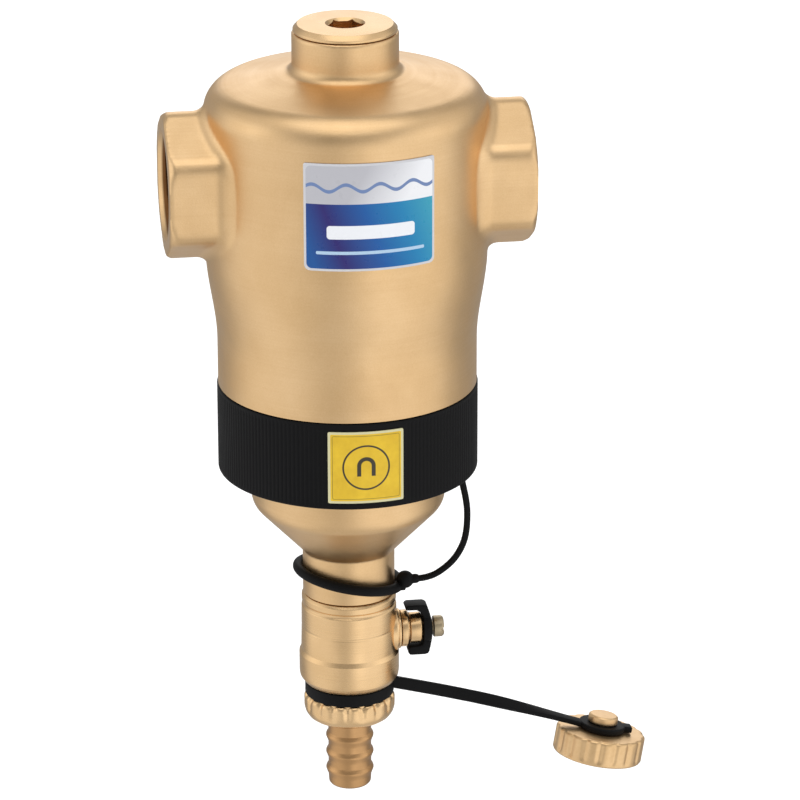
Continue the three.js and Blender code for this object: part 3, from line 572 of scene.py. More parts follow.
def plated(name):
    """Nickel plate on the magnets."""
    n = Nodes(bpy.data.materials.new(name))
    n.shader.inputs["Metallic"].default_value = 1.0
    broad = n.noise(120, 3)
    n.set(n.shader.inputs["Base Color"], n.ramp(broad, [(0.3, (0.46, 0.46, 0.47)), (0.7, (0.6, 0.6, 0.6))]))
    n.set(n.shader.inputs["Roughness"], n.spread(n.noise(900, 2), 0.2, 0.32))
    return n.owner


def label_axes(n, spec, radius):
    """Millimetres across and up from the middle of a label on a round surface, and half its width and height."""
    x, y, z = n.new("ShaderNodeSeparateXYZ", {0: n.place()}).outputs
    angle = n.math("ARCTAN2", x, n.times(y, -1.0))
    across = n.times(n.minus(angle, radians(spec["turn"])), radius)
    up = n.minus(n.math("DIVIDE", z, MM), (spec["bottom"] + spec["top"]) / 2)
    return across, up, radians(spec["angle"]) / 2 * radius, (spec["top"] - spec["bottom"]) / 2


def rounded_box_distance(n, across, up, half_width, half_height, corner):
    """Distance in millimetres from a rounded rectangle's edge, negative inside."""
    dx = n.math("MAXIMUM", n.minus(n.size(across), half_width - corner), 0)
    dy = n.math("MAXIMUM", n.minus(n.size(up), half_height - corner), 0)
    return n.minus(n.length(dx, dy), corner)


def inside(n, distance, edge=0.0, blur=0.12):
    """1 where a distance is below edge, with a soft printed border."""
    return n.between(distance, edge - blur / 2, edge + blur / 2, 1.0, 0.0)


FRONT_BLUES = [
    (0.08, (0.010, 0.09, 0.32)), (0.26, (0.028, 0.020, 0.16)), (0.5, (0.006, 0.10, 0.36)),
    (0.72, (0.010, 0.22, 0.46)), (0.95, (0.045, 0.36, 0.48)),
]
FRONT_SILVERS = [(0.0, (0.50, 0.50, 0.54)), (0.45, (0.86, 0.87, 0.9))]
FRONT_SPLIT = 0.25  # where silver meets blue, as a share of the label's half height
WAVE_RISE, WAVE_SIZE, WAVE_RATE, WAVE_HALF = 5.0, 1.1, 0.62, 0.55
BAR_UP, BAR_SHARE, BAR_HALF = -4.6, 0.66, 2.1
LINE_UP, LINE_SHARE, LINE_HALF = -11.0, 0.82, 0.5


def front_label_material(spec, radius):
    """Silver with a wavy line above, blue with a pale bar and a thin line below."""
    n = Nodes(bpy.data.materials.new("printed_front_label"))
    across, up, half_width, half_height = label_axes(n, spec, radius)
    share = n.between(across, -half_width, half_width, 0, 1)
    rise = n.between(up, -half_height, half_height, 0, 1)
    slant = n.plus(n.times(share, 0.8), n.times(rise, 0.25))
    blue = n.ramp(slant, FRONT_BLUES)
    silver = n.ramp(n.plus(share, n.times(rise, -0.5)), FRONT_SILVERS)
    split = half_height * FRONT_SPLIT
    wave = n.times(n.math("SINE", n.times(across, WAVE_RATE)), WAVE_SIZE)
    off_wave = n.size(n.minus(n.minus(up, split + WAVE_RISE), wave))
    top = n.mix(inside(n, off_wave, WAVE_HALF), silver, (0.16, 0.24, 0.45))
    bar = rounded_box_distance(n, across, n.minus(up, BAR_UP), half_width * BAR_SHARE, BAR_HALF, 1.0)
    line = rounded_box_distance(n, across, n.minus(up, LINE_UP), half_width * LINE_SHARE, LINE_HALF, 0.4)
    lower = n.mix(inside(n, bar), blue, (0.86, 0.88, 0.92))
    lower = n.mix(inside(n, line), lower, (0.45, 0.62, 0.80))
    face = n.mix(inside(n, n.minus(split, up)), lower, top)
    border = rounded_box_distance(n, across, up, half_width - 0.7, half_height - 0.7, 1.6)
    n.surface(n.mix(inside(n, border), (0.62, 0.62, 0.65), face),
              n.spread(n.noise(300, 2), 0.26, 0.36), n.bump(n.noise(700, 2), 0.3, 0.00002))
    n.shader.inputs["Specular IOR Level"].default_value = 0.3
    return n.owner


INK = (0.035, 0.028, 0.012)
FRAME_INSET = 1.35
SIGN_RADIUS, SIGN_HALF_LINE = 7.0, 0.28
HORSESHOE_UP, HORSESHOE_BOW, HORSESHOE_HALF, HORSESHOE_LEG = 0.6, 2.2, 0.62, 3.4


def ring_label_material(spec, radius):
    """Yellow with a thin frame, and a circle round a horseshoe magnet."""
    n = Nodes(bpy.data.materials.new("printed_ring_label"))
    across, up, half_width, half_height = label_axes(n, spec, radius)
    yellow = n.ramp(n.noise(260, 3), [(0.3, (0.70, 0.44, 0.006)), (0.7, (0.80, 0.53, 0.012))])
    frame_edge = rounded_box_distance(n, across, up, half_width - FRAME_INSET, half_height - FRAME_INSET, 0.5)
    face = n.mix(inside(n, n.size(frame_edge), 0.10), yellow, (0.30, 0.20, 0.01))
    off_circle = n.size(n.minus(n.length(across, up), SIGN_RADIUS))
    face = n.mix(inside(n, off_circle, SIGN_HALF_LINE), face, INK)
    arch_up = n.minus(up, HORSESHOE_UP)
    bow = n.length(across, n.math("MAXIMUM", arch_up, 0))
    band = n.minus(n.size(n.minus(bow, HORSESHOE_BOW)), HORSESHOE_HALF)
    foot = n.minus(n.times(arch_up, -1), HORSESHOE_LEG)
    face = n.mix(inside(n, n.math("MAXIMUM", band, foot)), face, INK)
    border = rounded_box_distance(n, across, up, half_width - 0.75, half_height - 0.75, 0.4)
    n.surface(n.mix(inside(n, border), (0.66, 0.62, 0.36), face),
              n.spread(n.noise(300, 2), 0.36, 0.46), n.bump(n.noise(600, 2), 0.3, 0.00003))
    return n.owner


COAL, SOOT = (0.003, 0.003, 0.0035), (0.006, 0.006, 0.0065)

# each look is a material and its slot
CAST = brass("cast_brass", 0.36, 2200, 0.00006, line_axis=2, line_top=-24, ports=True), "cast_brass"
CHAMBER = brass("turned_chamber_brass", 0.36, 2200, 0.00004, line_axis=2), "cast_brass"
TURNED = brass("turned_brass", 0.27, 2600, 0.00003, line_axis=2), "turned_brass"
TURNED_X = brass("turned_brass_across", 0.27, 2600, 0.00003, line_axis=0), "turned_brass"
PLAIN_BRASS = brass("plain_brass", 0.34, 2000, 0.00005), "turned_brass"
CAP_BRASS = brass("cap_brass", 0.38, 900, 0.00003), "turned_brass"
TAIL_BRASS = brass("hose_tail_brass", 0.30, 2600, 0.00003, line_axis=2,
                   dark=(0.50, 0.285, 0.125), light=(0.60, 0.35, 0.16)), "turned_brass"
SCREW_BRASS = brass("screw_brass", 0.36, 2200, 0.00005,
                    dark=(0.42, 0.34, 0.22), light=(0.55, 0.45, 0.30)), "turned_brass"
BLACK = moulded("black_plastic", COAL, SOOT, 0.5, specular=0.12), "black_plastic"
BLACK_SOFT = moulded("black_cord", COAL, SOOT, 0.55, specular=0.12), "black_plastic"
GREY = moulded("grey_plastic", (0.15, 0.16, 0.17), (0.22, 0.23, 0.24), 0.55)
PALE = moulded("seat_plastic", (0.80, 0.79, 0.75), (0.90, 0.89, 0.86), 0.3), "seat_plastic"
RUBBER = moulded("seal_rubber", (0.012, 0.012, 0.012), (0.03, 0.03, 0.03), 0.7), "seal_rubber"
NICKEL = plated("nickel_plate"), "magnet_steel"


def finish_piece(obj, node, look, body="separator"):
    """Gives a piece its material and the body it rides on, and hides the CAD node it stands for."""
    material, slot = look
    obj.data.materials.clear()
    obj.data.materials.append(material)
    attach(obj, body)
    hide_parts(node)


def spun(name, node, look, outline, segments=96, place=UP, shape=None, body="separator"):
    """A finished piece that is only a lathed outline."""
    finish_piece(lathe(name, outline, segments, place, shape), node, look, body)


# ---- Tether cord ----

TETHER_RADIUS = 1.05
TETHER_ROUTE = [
    (33.9, -10.0, -93.6), (34.0, -10.0, -95.2), (34.4, -10.0, -97.4), (35.0, -9.9, -100.2),
    (35.7, -9.7, -103.6), (36.2, -9.4, -107.4), (36.3, -9.1, -111.2), (36.1, -8.8, -114.9),
    (35.5, -8.4, -118.4), (34.3, -8.0, -121.7), (32.3, -7.5, -125.1), (29.6, -7.1, -127.9),
    (26.4, -6.6, -130.2), (23.3, -6.2, -131.3), (20.4, -5.8, -131.7),
]


def ferrule(name, start, end, radius):
    """A short moulded sleeve round the cord."""
    a, b = Vector(start), Vector(end)
    t = np.linspace(0, 1, 9)
    return sweep(name, [a.lerp(b, k) for k in t], lambda k: circle(radius * (1 - 0.22 * (2 * k - 1) ** 4), 20))


def mixed(a, b, ta, tb, t):
    """The point at t on the line that is at a at ta and at b at tb."""
    return a * ((tb - t) / (tb - ta)) + b * ((t - ta) / (tb - ta))


def curve_through(points, steps=6):
    """A smooth curve through points: centripetal Catmull-Rom."""
    points = [Vector(p) for p in points]
    points = [2 * points[0] - points[1], *points, 2 * points[-1] - points[-2]]
    result = []
    for p0, p1, p2, p3 in zip(points, points[1:], points[2:], points[3:]):
        t0 = 0.0
        t1 = t0 + (p1 - p0).length ** 0.5
        t2 = t1 + (p2 - p1).length ** 0.5
        t3 = t2 + (p3 - p2).length ** 0.5
        for k in range(steps):
            t = t1 + (t2 - t1) * k / steps
            a1, a2, a3 = mixed(p0, p1, t0, t1, t), mixed(p1, p2, t1, t2, t), mixed(p2, p3, t2, t3, t)
            result.append(mixed(mixed(a1, a2, t0, t2, t), mixed(a2, a3, t1, t3, t), t1, t2, t))
    return result + [points[-2]]


def tether():
    path = curve_through(TETHER_ROUTE)
    cord = sweep("tether", path, circle(TETHER_RADIUS, 16))
    cord.data.materials.append(BLACK_SOFT[0])
    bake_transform(cord)
    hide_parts("tether_cord")


tether()

# ---- Upper body, plug and front label ----

PORT_FACE = 56.0
PORT_FLAT = 20.8
PORT_CORNER = 23.0
PORT_BORE = 15.15
PORT_CHAMFER = 1.6
PORT_ENTRY = 2.0
PORT_PASSAGE = 12.6
PORT_BORE_END = 40.5
PORT_ROOT = 20  # how near the axis a port starts
PORT_FILLET = 3.4
THREAD_PITCH = 2.309
THREAD_DEPTH = 1.1
BODY = 43.3
SKIRT = 40.1
SKIRT_BOTTOM = -65.2
SKIRT_SPARE = 1.2  # cast longer by this much, then trimmed flat
TAPER_LOW = -51
TAPER_HEIGHT = 29
SHOULDER = 9
SHOULDER_HEIGHT = 21.8
BOSS = 16.3
BOSS_TOP = 46.3
BOSS_FOOT = 3
BOSS_BORE = 14.8
CAVITY = [
    (0, -70), (35, -70), (35, -49), (36, -49), (36, -44), (38.4, -24), (38.4, 18), (36, 24),
    (30, 27), (12.3, 27), (12.3, 45.1), (BOSS_BORE, 45.1), (BOSS_BORE, 47.5), (0, 47.5),
]


def body_outline():
    taper = []
    for i in range(13):
        t = i / 12
        taper.append((SKIRT + (BODY - SKIRT) * t * t * (3 - 2 * t), TAPER_LOW + TAPER_HEIGHT * t))
    shoulder = arc(BODY - SHOULDER, SHOULDER_HEIGHT, SHOULDER, 0, 77, 16)
    foot = arc(BOSS + BOSS_FOOT, 37.0, BOSS_FOOT, 270, 180, 8)
    low = SKIRT_BOTTOM - SKIRT_SPARE
    top = [(BOSS, BOSS_TOP - 0.4), (BOSS - 0.4, BOSS_TOP), (0, BOSS_TOP)]
    return [(0, low), (SKIRT, low), *taper, *shoulder, *foot, *top]


PROFILE = Profile(body_outline())


def body_field(points):
    """The round body joined to one hexagonal bar, mirrored to both sides."""
    x, y, z = np.abs(points[:, 0]), points[:, 1], points[:, 2]
    shell = PROFILE(np.hypot(x, y), z)
    bar = np.abs(y) - PORT_FLAT
    for angle in (radians(60), radians(-60)):
        slope = np.abs(y * cos(angle) + z * sin(angle)) - PORT_FLAT
        bar = round_intersection(bar, slope, 0.9)
    rho = np.hypot(y, z)
    bar = round_intersection(bar, rho - PORT_CORNER, 0.6)
    cone = (rho + x - (PORT_CORNER + PORT_FACE - PORT_CHAMFER)) / sqrt(2)
    end = round_intersection(x - PORT_FACE, cone, 0.4)
    bar = round_intersection(bar, end, 0.5)
    return round_union(shell, np.maximum(bar, PORT_ROOT - x), PORT_FILLET)


def thread_shape(start, end):
    """A helical thread cut outwards between two heights."""
    def shape(radius, height, angle):
        phase = np.mod(height / THREAD_PITCH + angle / (2 * pi), 1)
        tooth = np.clip(1.6 * np.abs(2 * phase - 1) - 0.3, 0, 1)
        fade = np.clip((height - start) / 1.5, 0, 1) * np.clip((end - height) / 0.5 + 0.4, 0, 1)
        wall = np.abs(radius - PORT_BORE) < 0.01
        return radius + THREAD_DEPTH * tooth * fade * wall
    return shape


def bore_cutter(name, place):
    mouth = PORT_FACE - PORT_ENTRY
    rows = [(PORT_BORE, h) for h in np.linspace(PORT_BORE_END, mouth, 44)]
    outline = [(0, 30), (PORT_PASSAGE, 30), (PORT_PASSAGE, PORT_BORE_END), *rows,
               (PORT_BORE + PORT_ENTRY, PORT_FACE), (PORT_BORE + PORT_ENTRY, PORT_FACE + 1), (0, PORT_FACE + 1)]
    return lathe(name, outline, place=place, shape=thread_shape(PORT_BORE_END + 1, mouth))


def upper_body():
    body = field_mesh("body_casting", body_field, (-58, -45.2, -68.2), (58, 45.2, 48.2), 0.8)
    cavity = lathe("cavity", CAVITY)
    right = bore_cutter("right_bore", ALONG_X)
    left = bore_cutter("left_bore", Matrix.Rotation(-pi / 2, 4, "Y"))
    trim = lathe("trim", rectangle(0, 46, SKIRT_BOTTOM - 4, SKIRT_BOTTOM))
    boolean(body, [cavity, right, left, trim])
    sharpen(body)
    finish_piece(body, "upper_body", CAST)


def sharpen(obj):
    """Sharp edges where a cutter met the casting, smooth shading everywhere else."""
    smooth(obj, 62)
    with edited(obj) as work:
        for edge in work.edges:
            if len(edge.link_faces) != 2 or not edge.smooth:
                continue
            middle = (edge.verts[0].co + edge.verts[1].co) / (2 * MM)
            in_bore = hypot(middle.y, middle.z) < PORT_BORE + PORT_ENTRY + 0.05 and abs(middle.x) > 38
            in_boss = hypot(middle.x, middle.y) < BOSS_BORE + 0.05 and middle.z > 26
            at_skirt = abs(middle.z - SKIRT_BOTTOM) < 0.02
            if (in_bore or in_boss or at_skirt) and edge.calc_face_angle(0) > radians(28):
                edge.smooth = False


SOCKET_CORNER = 5.77


def top_plug():
    outline = [(0, 33), (11.2, 33), (12, 33.8), (12, 46.6), (15.9, 46.6), (15.9, 47.4), (14.6, 48.8), (0, 48.8)]
    plug = lathe("plug", soften(outline, 0.2))
    socket = prism("socket", circle(SOCKET_CORNER, 6), 41.8, 50)
    entry = lathe("entry", [(0, 47.7), (5.2, 47.9), (6.1, 48.8), (6.1, 49.9), (0, 49.9)], 48)
    boolean(plug, [socket, entry])
    smooth(plug, 30)
    finish_piece(plug, "top_plug", TURNED)


FRONT_LABEL = {"angle": 53.6, "bottom": -15.4, "top": 18.0, "turn": 2.4, "corners": (1.8, 0.6)}
RING_LABEL = {"angle": 32.9, "bottom": -90.9, "top": -67.8, "turn": 0.3, "corners": (0.5, 0.5)}
LABEL_CLEARANCE = 0.12
LABEL_THICKNESS = 0.3
LABEL_SIDE = 2.2  # columns stand closer together in this width at each side
LABEL_ROWS = 9


def sticker(name, radius, spec):
    """A curved film with rounded corners, seen from its outside."""
    inner = radius + LABEL_CLEARANCE
    half = radians(spec["angle"]) / 2
    low_corner, high_corner = spec["corners"]
    width = half * inner
    near_edge = width - LABEL_SIDE * np.linspace(1, 0, 9) ** 2
    middle = np.linspace(-width + LABEL_SIDE, width - LABEL_SIDE, 41)[1:-1]
    columns = np.concatenate([-near_edge[::-1], middle, near_edge])
    rows = LABEL_ROWS
    layers = []
    for layer in (inner + LABEL_THICKNESS, inner):
        for across in columns:
            inset_low = corner_inset(width - abs(across), low_corner)
            inset_high = corner_inset(width - abs(across), high_corner)
            angle = radians(270 + spec["turn"]) + across / inner
            for z in np.linspace(spec["bottom"] + inset_low, spec["top"] - inset_high, rows):
                layers.append((layer * cos(angle), layer * sin(angle), z))
    count = len(columns)
    back = count * rows
    faces = []
    for i in range(count - 1):
        for j in range(rows - 1):
            a, b, c, d = i * rows + j, (i + 1) * rows + j, (i + 1) * rows + j + 1, i * rows + j + 1
            faces += [(a, b, c, d), (back + d, back + c, back + b, back + a)]
    rim = [i * rows for i in range(count)] + [(count - 1) * rows + j for j in range(1, rows)]
    rim += [i * rows + rows - 1 for i in reversed(range(count - 1))] + list(reversed(range(1, rows - 1)))
    for a, b in zip(rim, rim[1:] + rim[:1]):
        faces.append((b, a, back + a, back + b))
    return smooth(mesh_object(name, layers, faces), 50)


def corner_inset(distance, radius):
    """How far a rounded corner pulls an edge in, at a distance from the side."""
    if distance >= radius:
        return 0.0
    return radius - sqrt(max(radius ** 2 - (radius - distance) ** 2, 0))


def labels():
    front = front_label_material(FRONT_LABEL, BODY), "blue_label"
    finish_piece(sticker("front_sticker", BODY, FRONT_LABEL), "front_label", front)
    collar = ring_label_material(RING_LABEL, COLLAR), "yellow_label"
    finish_piece(sticker("collar_sticker", COLLAR, RING_LABEL), "ring_label", collar, "magnet_collar")


# ---- Lower chamber ----


CHAMBER_RADIUS = 30.3
CHAMBER_WALL = 2.7
CONE_SLOPE = radians(46.5)
BOWL = 6.5
BOWL_TOP = -102.2
NECK = 14.45
NECK_BOTTOM = -136.2
NECK_FILLET = 2.0
SLEEVE = 34.7  # the part inside the upper body, with a groove for the o-ring
SLEEVE_TOP = -48.3
GROOVE = 32.8
OUTLET = 8.5
SPIGOT_BORE = 10.4


def cone_height(point, radius):
    return point[1] - (point[0] - radius) * tan(CONE_SLOPE)


def lower_chamber():
    bend = 90 - degrees(CONE_SLOPE)
    bowl_centre = CHAMBER_RADIUS - BOWL
    outer = arc(bowl_centre, BOWL_TOP, BOWL, -bend, 0, 14)
    inner = arc(bowl_centre, BOWL_TOP, BOWL - CHAMBER_WALL, 0, -bend, 6)
    drop = NECK_FILLET * tan(radians(bend / 2))
    fillet = arc(NECK + NECK_FILLET, cone_height(outer[0], NECK) - drop, NECK_FILLET, 180, 180 - bend, 6)
    sleeve = [(CHAMBER_RADIUS, SKIRT_BOTTOM), (SLEEVE, SKIRT_BOTTOM), (SLEEVE, -52.0), (GROOVE, -52.0),
              (GROOVE, -49.6), (SLEEVE, -49.6), (SLEEVE, SLEEVE_TOP), (31, SLEEVE_TOP), (31, SKIRT_BOTTOM + 4),
              (CHAMBER_RADIUS - CHAMBER_WALL, SKIRT_BOTTOM - 2)]
    outlet = [(OUTLET, cone_height(inner[-1], OUTLET)), (OUTLET, -125.6), (SPIGOT_BORE, -125.6),
              (SPIGOT_BORE, NECK_BOTTOM)]
    outline = [(NECK, NECK_BOTTOM), *fillet, *outer, *sleeve, *inner, *outlet]
    spun("chamber", "lower_chamber", CHAMBER, soften(outline, 0.35), 128)


# ---- Magnet collar ----

COLLAR = 40.45
COLLAR_BORE = 30.7
COLLAR_TOP = -65.55
COLLAR_BOTTOM = -93.2
COLLAR_EDGE = 0.5
COVER_TOP = COLLAR_BOTTOM + 1.8
RIB_COUNT = 180
RIB_DEPTH = 0.16
MAGNET_TURNS = [Matrix.Rotation(radians(45 * k + 22.5), 4, "Z") for k in range(8)]
MAGNET_RADIUS = 35.2  # from the axis to the middle of a magnet
MAGNET_SIZE = (4.6, 15, 20)
MAGNET_HEIGHT = -78.8
POCKET_SIZE = (5.2, 15.6, 23.6)
POCKET_HEIGHT = -80.3


def ribbed(radius, height, angle):
    """Fine upright ribs round the collar, left out behind the label."""
    from_label = np.abs(np.mod(angle - radians(270) + pi, 2 * pi) - pi)
    clear = np.clip((from_label - radians(18)) / radians(1.5), 0, 1)
    wave = (0.5 - 0.5 * np.cos(RIB_COUNT * angle)) ** 3
    wall = (radius > COLLAR - 0.2) * np.clip((height - COLLAR_BOTTOM - 1.2) / 0.4, 0, 1)
    wall = wall * np.clip((COLLAR_TOP - 0.8 - height) / 0.4, 0, 1)
    return radius - RIB_DEPTH * wave * clear * wall


def magnet_collar():
    wall = [(COLLAR, z) for z in (-92.6, -91.6, -91.2, -80, -67.1, -66.7, -66.1)]
    seat = COVER_TOP + 0.3
    edge = COLLAR - COLLAR_EDGE
    outline = [(COLLAR_BORE, COLLAR_BOTTOM), (31.6, COLLAR_BOTTOM), (31.6, seat), (38.6, seat),
               (38.6, COLLAR_BOTTOM), *arc(edge, COLLAR_BOTTOM + COLLAR_EDGE, COLLAR_EDGE, -90, 0, 4), *wall,
               *arc(edge, COLLAR_TOP - COLLAR_EDGE, COLLAR_EDGE, 0, 90, 4), (COLLAR_BORE, COLLAR_TOP)]
    collar = lathe("collar", outline, RIB_COUNT * 6, shape=ribbed)
    pockets = [block(f"pocket_{k}", POCKET_SIZE, (MAGNET_RADIUS, 0, POCKET_HEIGHT), turn)
               for k, turn in enumerate(MAGNET_TURNS)]
    boolean(collar, pockets)
    boolean(collar, [ferrule("collar_sleeve", (33.85, -10, -92.8), (33.95, -10, -95.0), 1.6)], "UNION")
    smooth(collar, 40)
    finish_piece(collar, "magnet_ring", BLACK, "magnet_collar")
    outline = soften(rectangle(31.9, 38.3, COLLAR_BOTTOM, COVER_TOP))
    spun("collar_cover", "magnet_ring_cover", BLACK, outline, 128, body="magnet_collar")
    for k, turn in enumerate(MAGNET_TURNS):
        magnet = block(f"magnet_block_{k + 1}", MAGNET_SIZE, (MAGNET_RADIUS, 0, MAGNET_HEIGHT), turn)
        smooth(bevel(magnet, 0.4), 30)
        finish_piece(magnet, f"magnet_{k + 1}", NICKEL, "magnet_collar")


# ---- Neck loop ----

LOOP = 16.3
LOOP_THICKNESS = 1.6
LOOP_HEIGHT = -131.2
BEAD = 2.8
BEAD_CENTRE = (17.1, -5.6, -131.8)


def neck_loop():
    tilt = Matrix.Rotation(radians(-4), 4, "X") @ Matrix.Rotation(radians(11.2), 4, "Y")
    place = Matrix.Translation((0, 0, LOOP_HEIGHT)) @ tilt
    loop = lathe("loop", arc(LOOP, 0, LOOP_THICKNESS, 0, 360, 20)[:-1], place=place)
    bead = lathe("bead", arc(0, 0, BEAD, -90, 90, 18), 32, Matrix.Translation(BEAD_CENTRE))
    lug = bevel(block("lug", (2.8, 2.4, 2.8), (15.7, -6.6, -133.4)), 0.5)
    sleeve = ferrule("loop_sleeve", (18.0, -5.6, -131.8), (21.4, -5.85, -131.6), 1.5)
    boolean(loop, [bead, lug, sleeve], "UNION")
    boolean(loop, [lathe("neck_clearance", rectangle(0, NECK + 0.3, -137, -124))])
    smooth(loop, 42)
    finish_piece(loop, "neck_loop", BLACK_SOFT)


# ---- Drain cock ----

COCK_AXIS = -150.9
AT_SPINDLE = Matrix.Translation((0, 0, COCK_AXIS)) @ ALONG_X
COCK_OUTLINE = [
    (9.6, -175.9), (12.2, -175.9), (12.9, -175.2), (12.9, -171.5), (12.0, -171.3), (12.0, -166.8),
    (14.2, -166.8), (15.6, -164.8), (15.8, -163.4), (15.8, -157.0), (15.2, -155.6), (15.05, -148.4),
    (14.95, -148.1), (14.95, -147.7), (15.05, -147.4), (15.0, -141.0), (14.5, -140.4), (14.5, -139.7),
    (14.9, -139.1), (14.9, -137.4), (14.2, -136.5), (10.1, -136.5), (10.1, -126.8), (9.5, -126.2),
    (6, -126.2), (6, -141.6), (9.6, -141.6),
]
SIDE_BOSS_OUTLINE = [(3, 11.5), (7.3, 11.5), (7.3, 14.6), (6.9, 15.2), (6.4, 15.4), (6.4, 16.1), (3, 16.1)]
GLAND_OUTLINE = [
    (3.3, 14.4), (4.8, 14.4), (4.8, 16.4), (5.9, 16.4), (5.9, 18.2), (5.2, 18.9), (3.3, 18.9),
]
STEM_OUTLINE = [
    (0, 19.6), (0, 9.6), (3, 9.6), (3, 19.2), (4.9, 19.2), (4.9, 22.5), (4.3, 23.1), (1.9, 23.1), (1.9, 19.6),
]
BALL = 9.0
SEAT_SPHERE = 9.3  # the ball and its clearance
SEAT_RADIUS = 9.3
BALL_BORE = 5.5


def valve_body():
    barrel = lathe("cock", soften(COCK_OUTLINE, 0.45, 4))
    boolean(barrel, [lathe("side_boss", soften(SIDE_BOSS_OUTLINE), 64, AT_SPINDLE)], "UNION")
    hole = [(0, 8), (3.3, 8), (3.3, 12.4), (5.1, 12.4), (5.1, 17.1), (0, 17.1)]
    boolean(barrel, [lathe("gland_hole", hole, 48, AT_SPINDLE)])
    smooth(barrel, 32)
    finish_piece(barrel, "valve_body", TURNED)


def cock_inside():
    outlines = {
        "seat_upper": [(6.02, -143.8), *arc(0, COCK_AXIS, SEAT_SPHERE, 49, 31, 6), (9.28, -146.1),
                       (SEAT_RADIUS, -141.9), (6.0, -141.9)],
        "seat_lower": [(6.0, -160.7), (SEAT_RADIUS, -160.7), (9.28, -155.7),
                       *arc(0, COCK_AXIS, SEAT_SPHERE, -31, -49, 6), (6.02, -158.0)],
    }
    for node, outline in outlines.items():
        spun(node + "_ring", node, PALE, outline, 64)
    spun("retainer", "seat_retainer", TURNED, soften(rectangle(6, SEAT_RADIUS, -165.5, -161)), 64)
    spun("packing", "packing_ring", PALE, soften(rectangle(3.3, 4.8, 12.7, 14.1), 0.2), 48, AT_SPINDLE)
    ball = lathe("ball", arc(0, COCK_AXIS, BALL, -90, 90, 32), 64)
    bore = lathe("ball_bore", rectangle(0, BALL_BORE, COCK_AXIS - 12, COCK_AXIS + 12), 48)
    slot = block("ball_slot", (4, 3.4, 7.6), (8.6, 0, COCK_AXIS))
    boolean(ball, [bore, slot])
    smooth(ball, 35)
    finish_piece(ball, "valve_ball", PLAIN_BRASS, "valve_stem")


def spindle_and_gland():
    spun("gland", "gland_nut", TURNED_X, soften(GLAND_OUTLINE, 0.25), 64, AT_SPINDLE)
    stem = lathe("stem", soften(STEM_OUTLINE), 64, AT_SPINDLE)
    tongue = block("tongue", (3.4, 2.6, 5.2), (8.6, 0, COCK_AXIS))
    square = block("square", (3.6, 4, 4), (24.4, 0, COCK_AXIS))
    boolean(stem, [tongue, square], "UNION")
    boolean(stem, [lathe("screw_hole", rectangle(0, 1.9, 19.6, 27), 32, AT_SPINDLE)])
    smooth(stem, 32)
    finish_piece(stem, "spindle", TURNED_X, "valve_stem")


HANDLE_HALF_WIDTH = 2.8
HANDLE_OUTLINE = [  # side view: distance from the body axis, height above the spindle
    (19.9, -8.5), (23.9, -8.5), (24.9, -8.3), (25.4, -7.6), (25.85, -5.6), (26.2, -3.6), (26.42, -1.8), (26.5, 0),
    (26.4, 1.9), (26.0, 3.8), (25.5, 5.7), (24.9, 7.6), (24.4, 8.2), (23.6, 8.5), (18.6, 8.5), (17.95, 8.2),
    (17.7, 7.7), (17.75, 7.1), (18.2, 6.9), (21.3, 6.8), (22.1, 6.3), (22.9, 5.3), (23.4, 4.6), (23.4, -4.6),
    (23.0, -5.3), (21.8, -5.5), (19.2, -5.6), (18.8, -5.9), (18.65, -6.4), (18.75, -7.9), (19.2, -8.4),
]


def handle():
    place = Matrix.Translation((0, 0, COCK_AXIS)) @ Matrix.Rotation(pi / 2, 4, "X")
    plate = prism("lever", HANDLE_OUTLINE, -HANDLE_HALF_WIDTH, HANDLE_HALF_WIDTH, place)
    hub = lathe("lever_hub", soften(rectangle(0, 4.9, 23.4, 25.8), 0.4), 64, AT_SPINDLE)
    bevel(plate, 0.5, 50)
    boolean(plate, [hub], "UNION")
    boolean(plate, [block("square_hole", (8, 4.6, 4.6), (25, 0, COCK_AXIS))])
    smooth(plate, 36)
    finish_piece(plate, "handle", BLACK, "valve_stem")


def handle_screw():
    outline = [(0, 20.4), (1.6, 20.4), (1.6, 26.9), (3.4, 26.9), (3.4, 29.5), (2.9, 30.1), (0, 30.1)]
    screw = lathe("screw", soften(outline, 0.25), 48, AT_SPINDLE)
    boolean(screw, [block("slot", (2, 9, 1.2), (30.2, 0, COCK_AXIS))])
    smooth(screw, 32)
    finish_piece(screw, "handle_screw", SCREW_BRASS, "valve_stem")


# ---- Strap, cap and hose fittings ----

AT_CAP = (Matrix.Translation((82.0, 0, -189.3)) @ Matrix.Rotation(radians(-5), 4, "X")
          @ Matrix.Rotation(radians(10.5), 4, "Y"))
STRAP_WIDTH = 4.1
STRAP_THICKNESS = 1.7
STRAP_RISE = 1.0
RING_MIDDLE = -169.15
RING_LOW, RING_HIGH = -171.2, -167.1
RING_INNER, RING_OUTER = 12.3, 14.1
EYE = 7.5
EYE_HOLE = 4.3
FLUTES = 18
CAP = 14.4
CAP_RIM = -9.7
CAP_TOP = -1.3
NUT = 14.4
NUT_BOTTOM = -179.8
NUT_TOP = -171.4
NUT_ROUNDING = 4.4
NUT_HOLE = 8.0
NUT_BORE = 13.2
TAIL_BORE = 4.7
TAIL_GROOVE = 6.85
TAIL_RIDGES = (-197.9, -192.2, -186.5)


def smoothstep(t, low, high):
    t = min(max((t - low) / (high - low), 0), 1)
    return t * t * (3 - 2 * t)


def rounded_section(width, height, corner=0.5, steps=3):
    points = []
    for k, (sx, sy) in enumerate(((1, 1), (-1, 1), (-1, -1), (1, -1))):
        for i in range(steps + 1):
            a = radians(90 * k + 90 * i / steps)
            x = sx * (width / 2 - corner) + corner * cos(a)
            y = sy * (height / 2 - corner) + corner * sin(a)
            points.append((x, y))
    return points


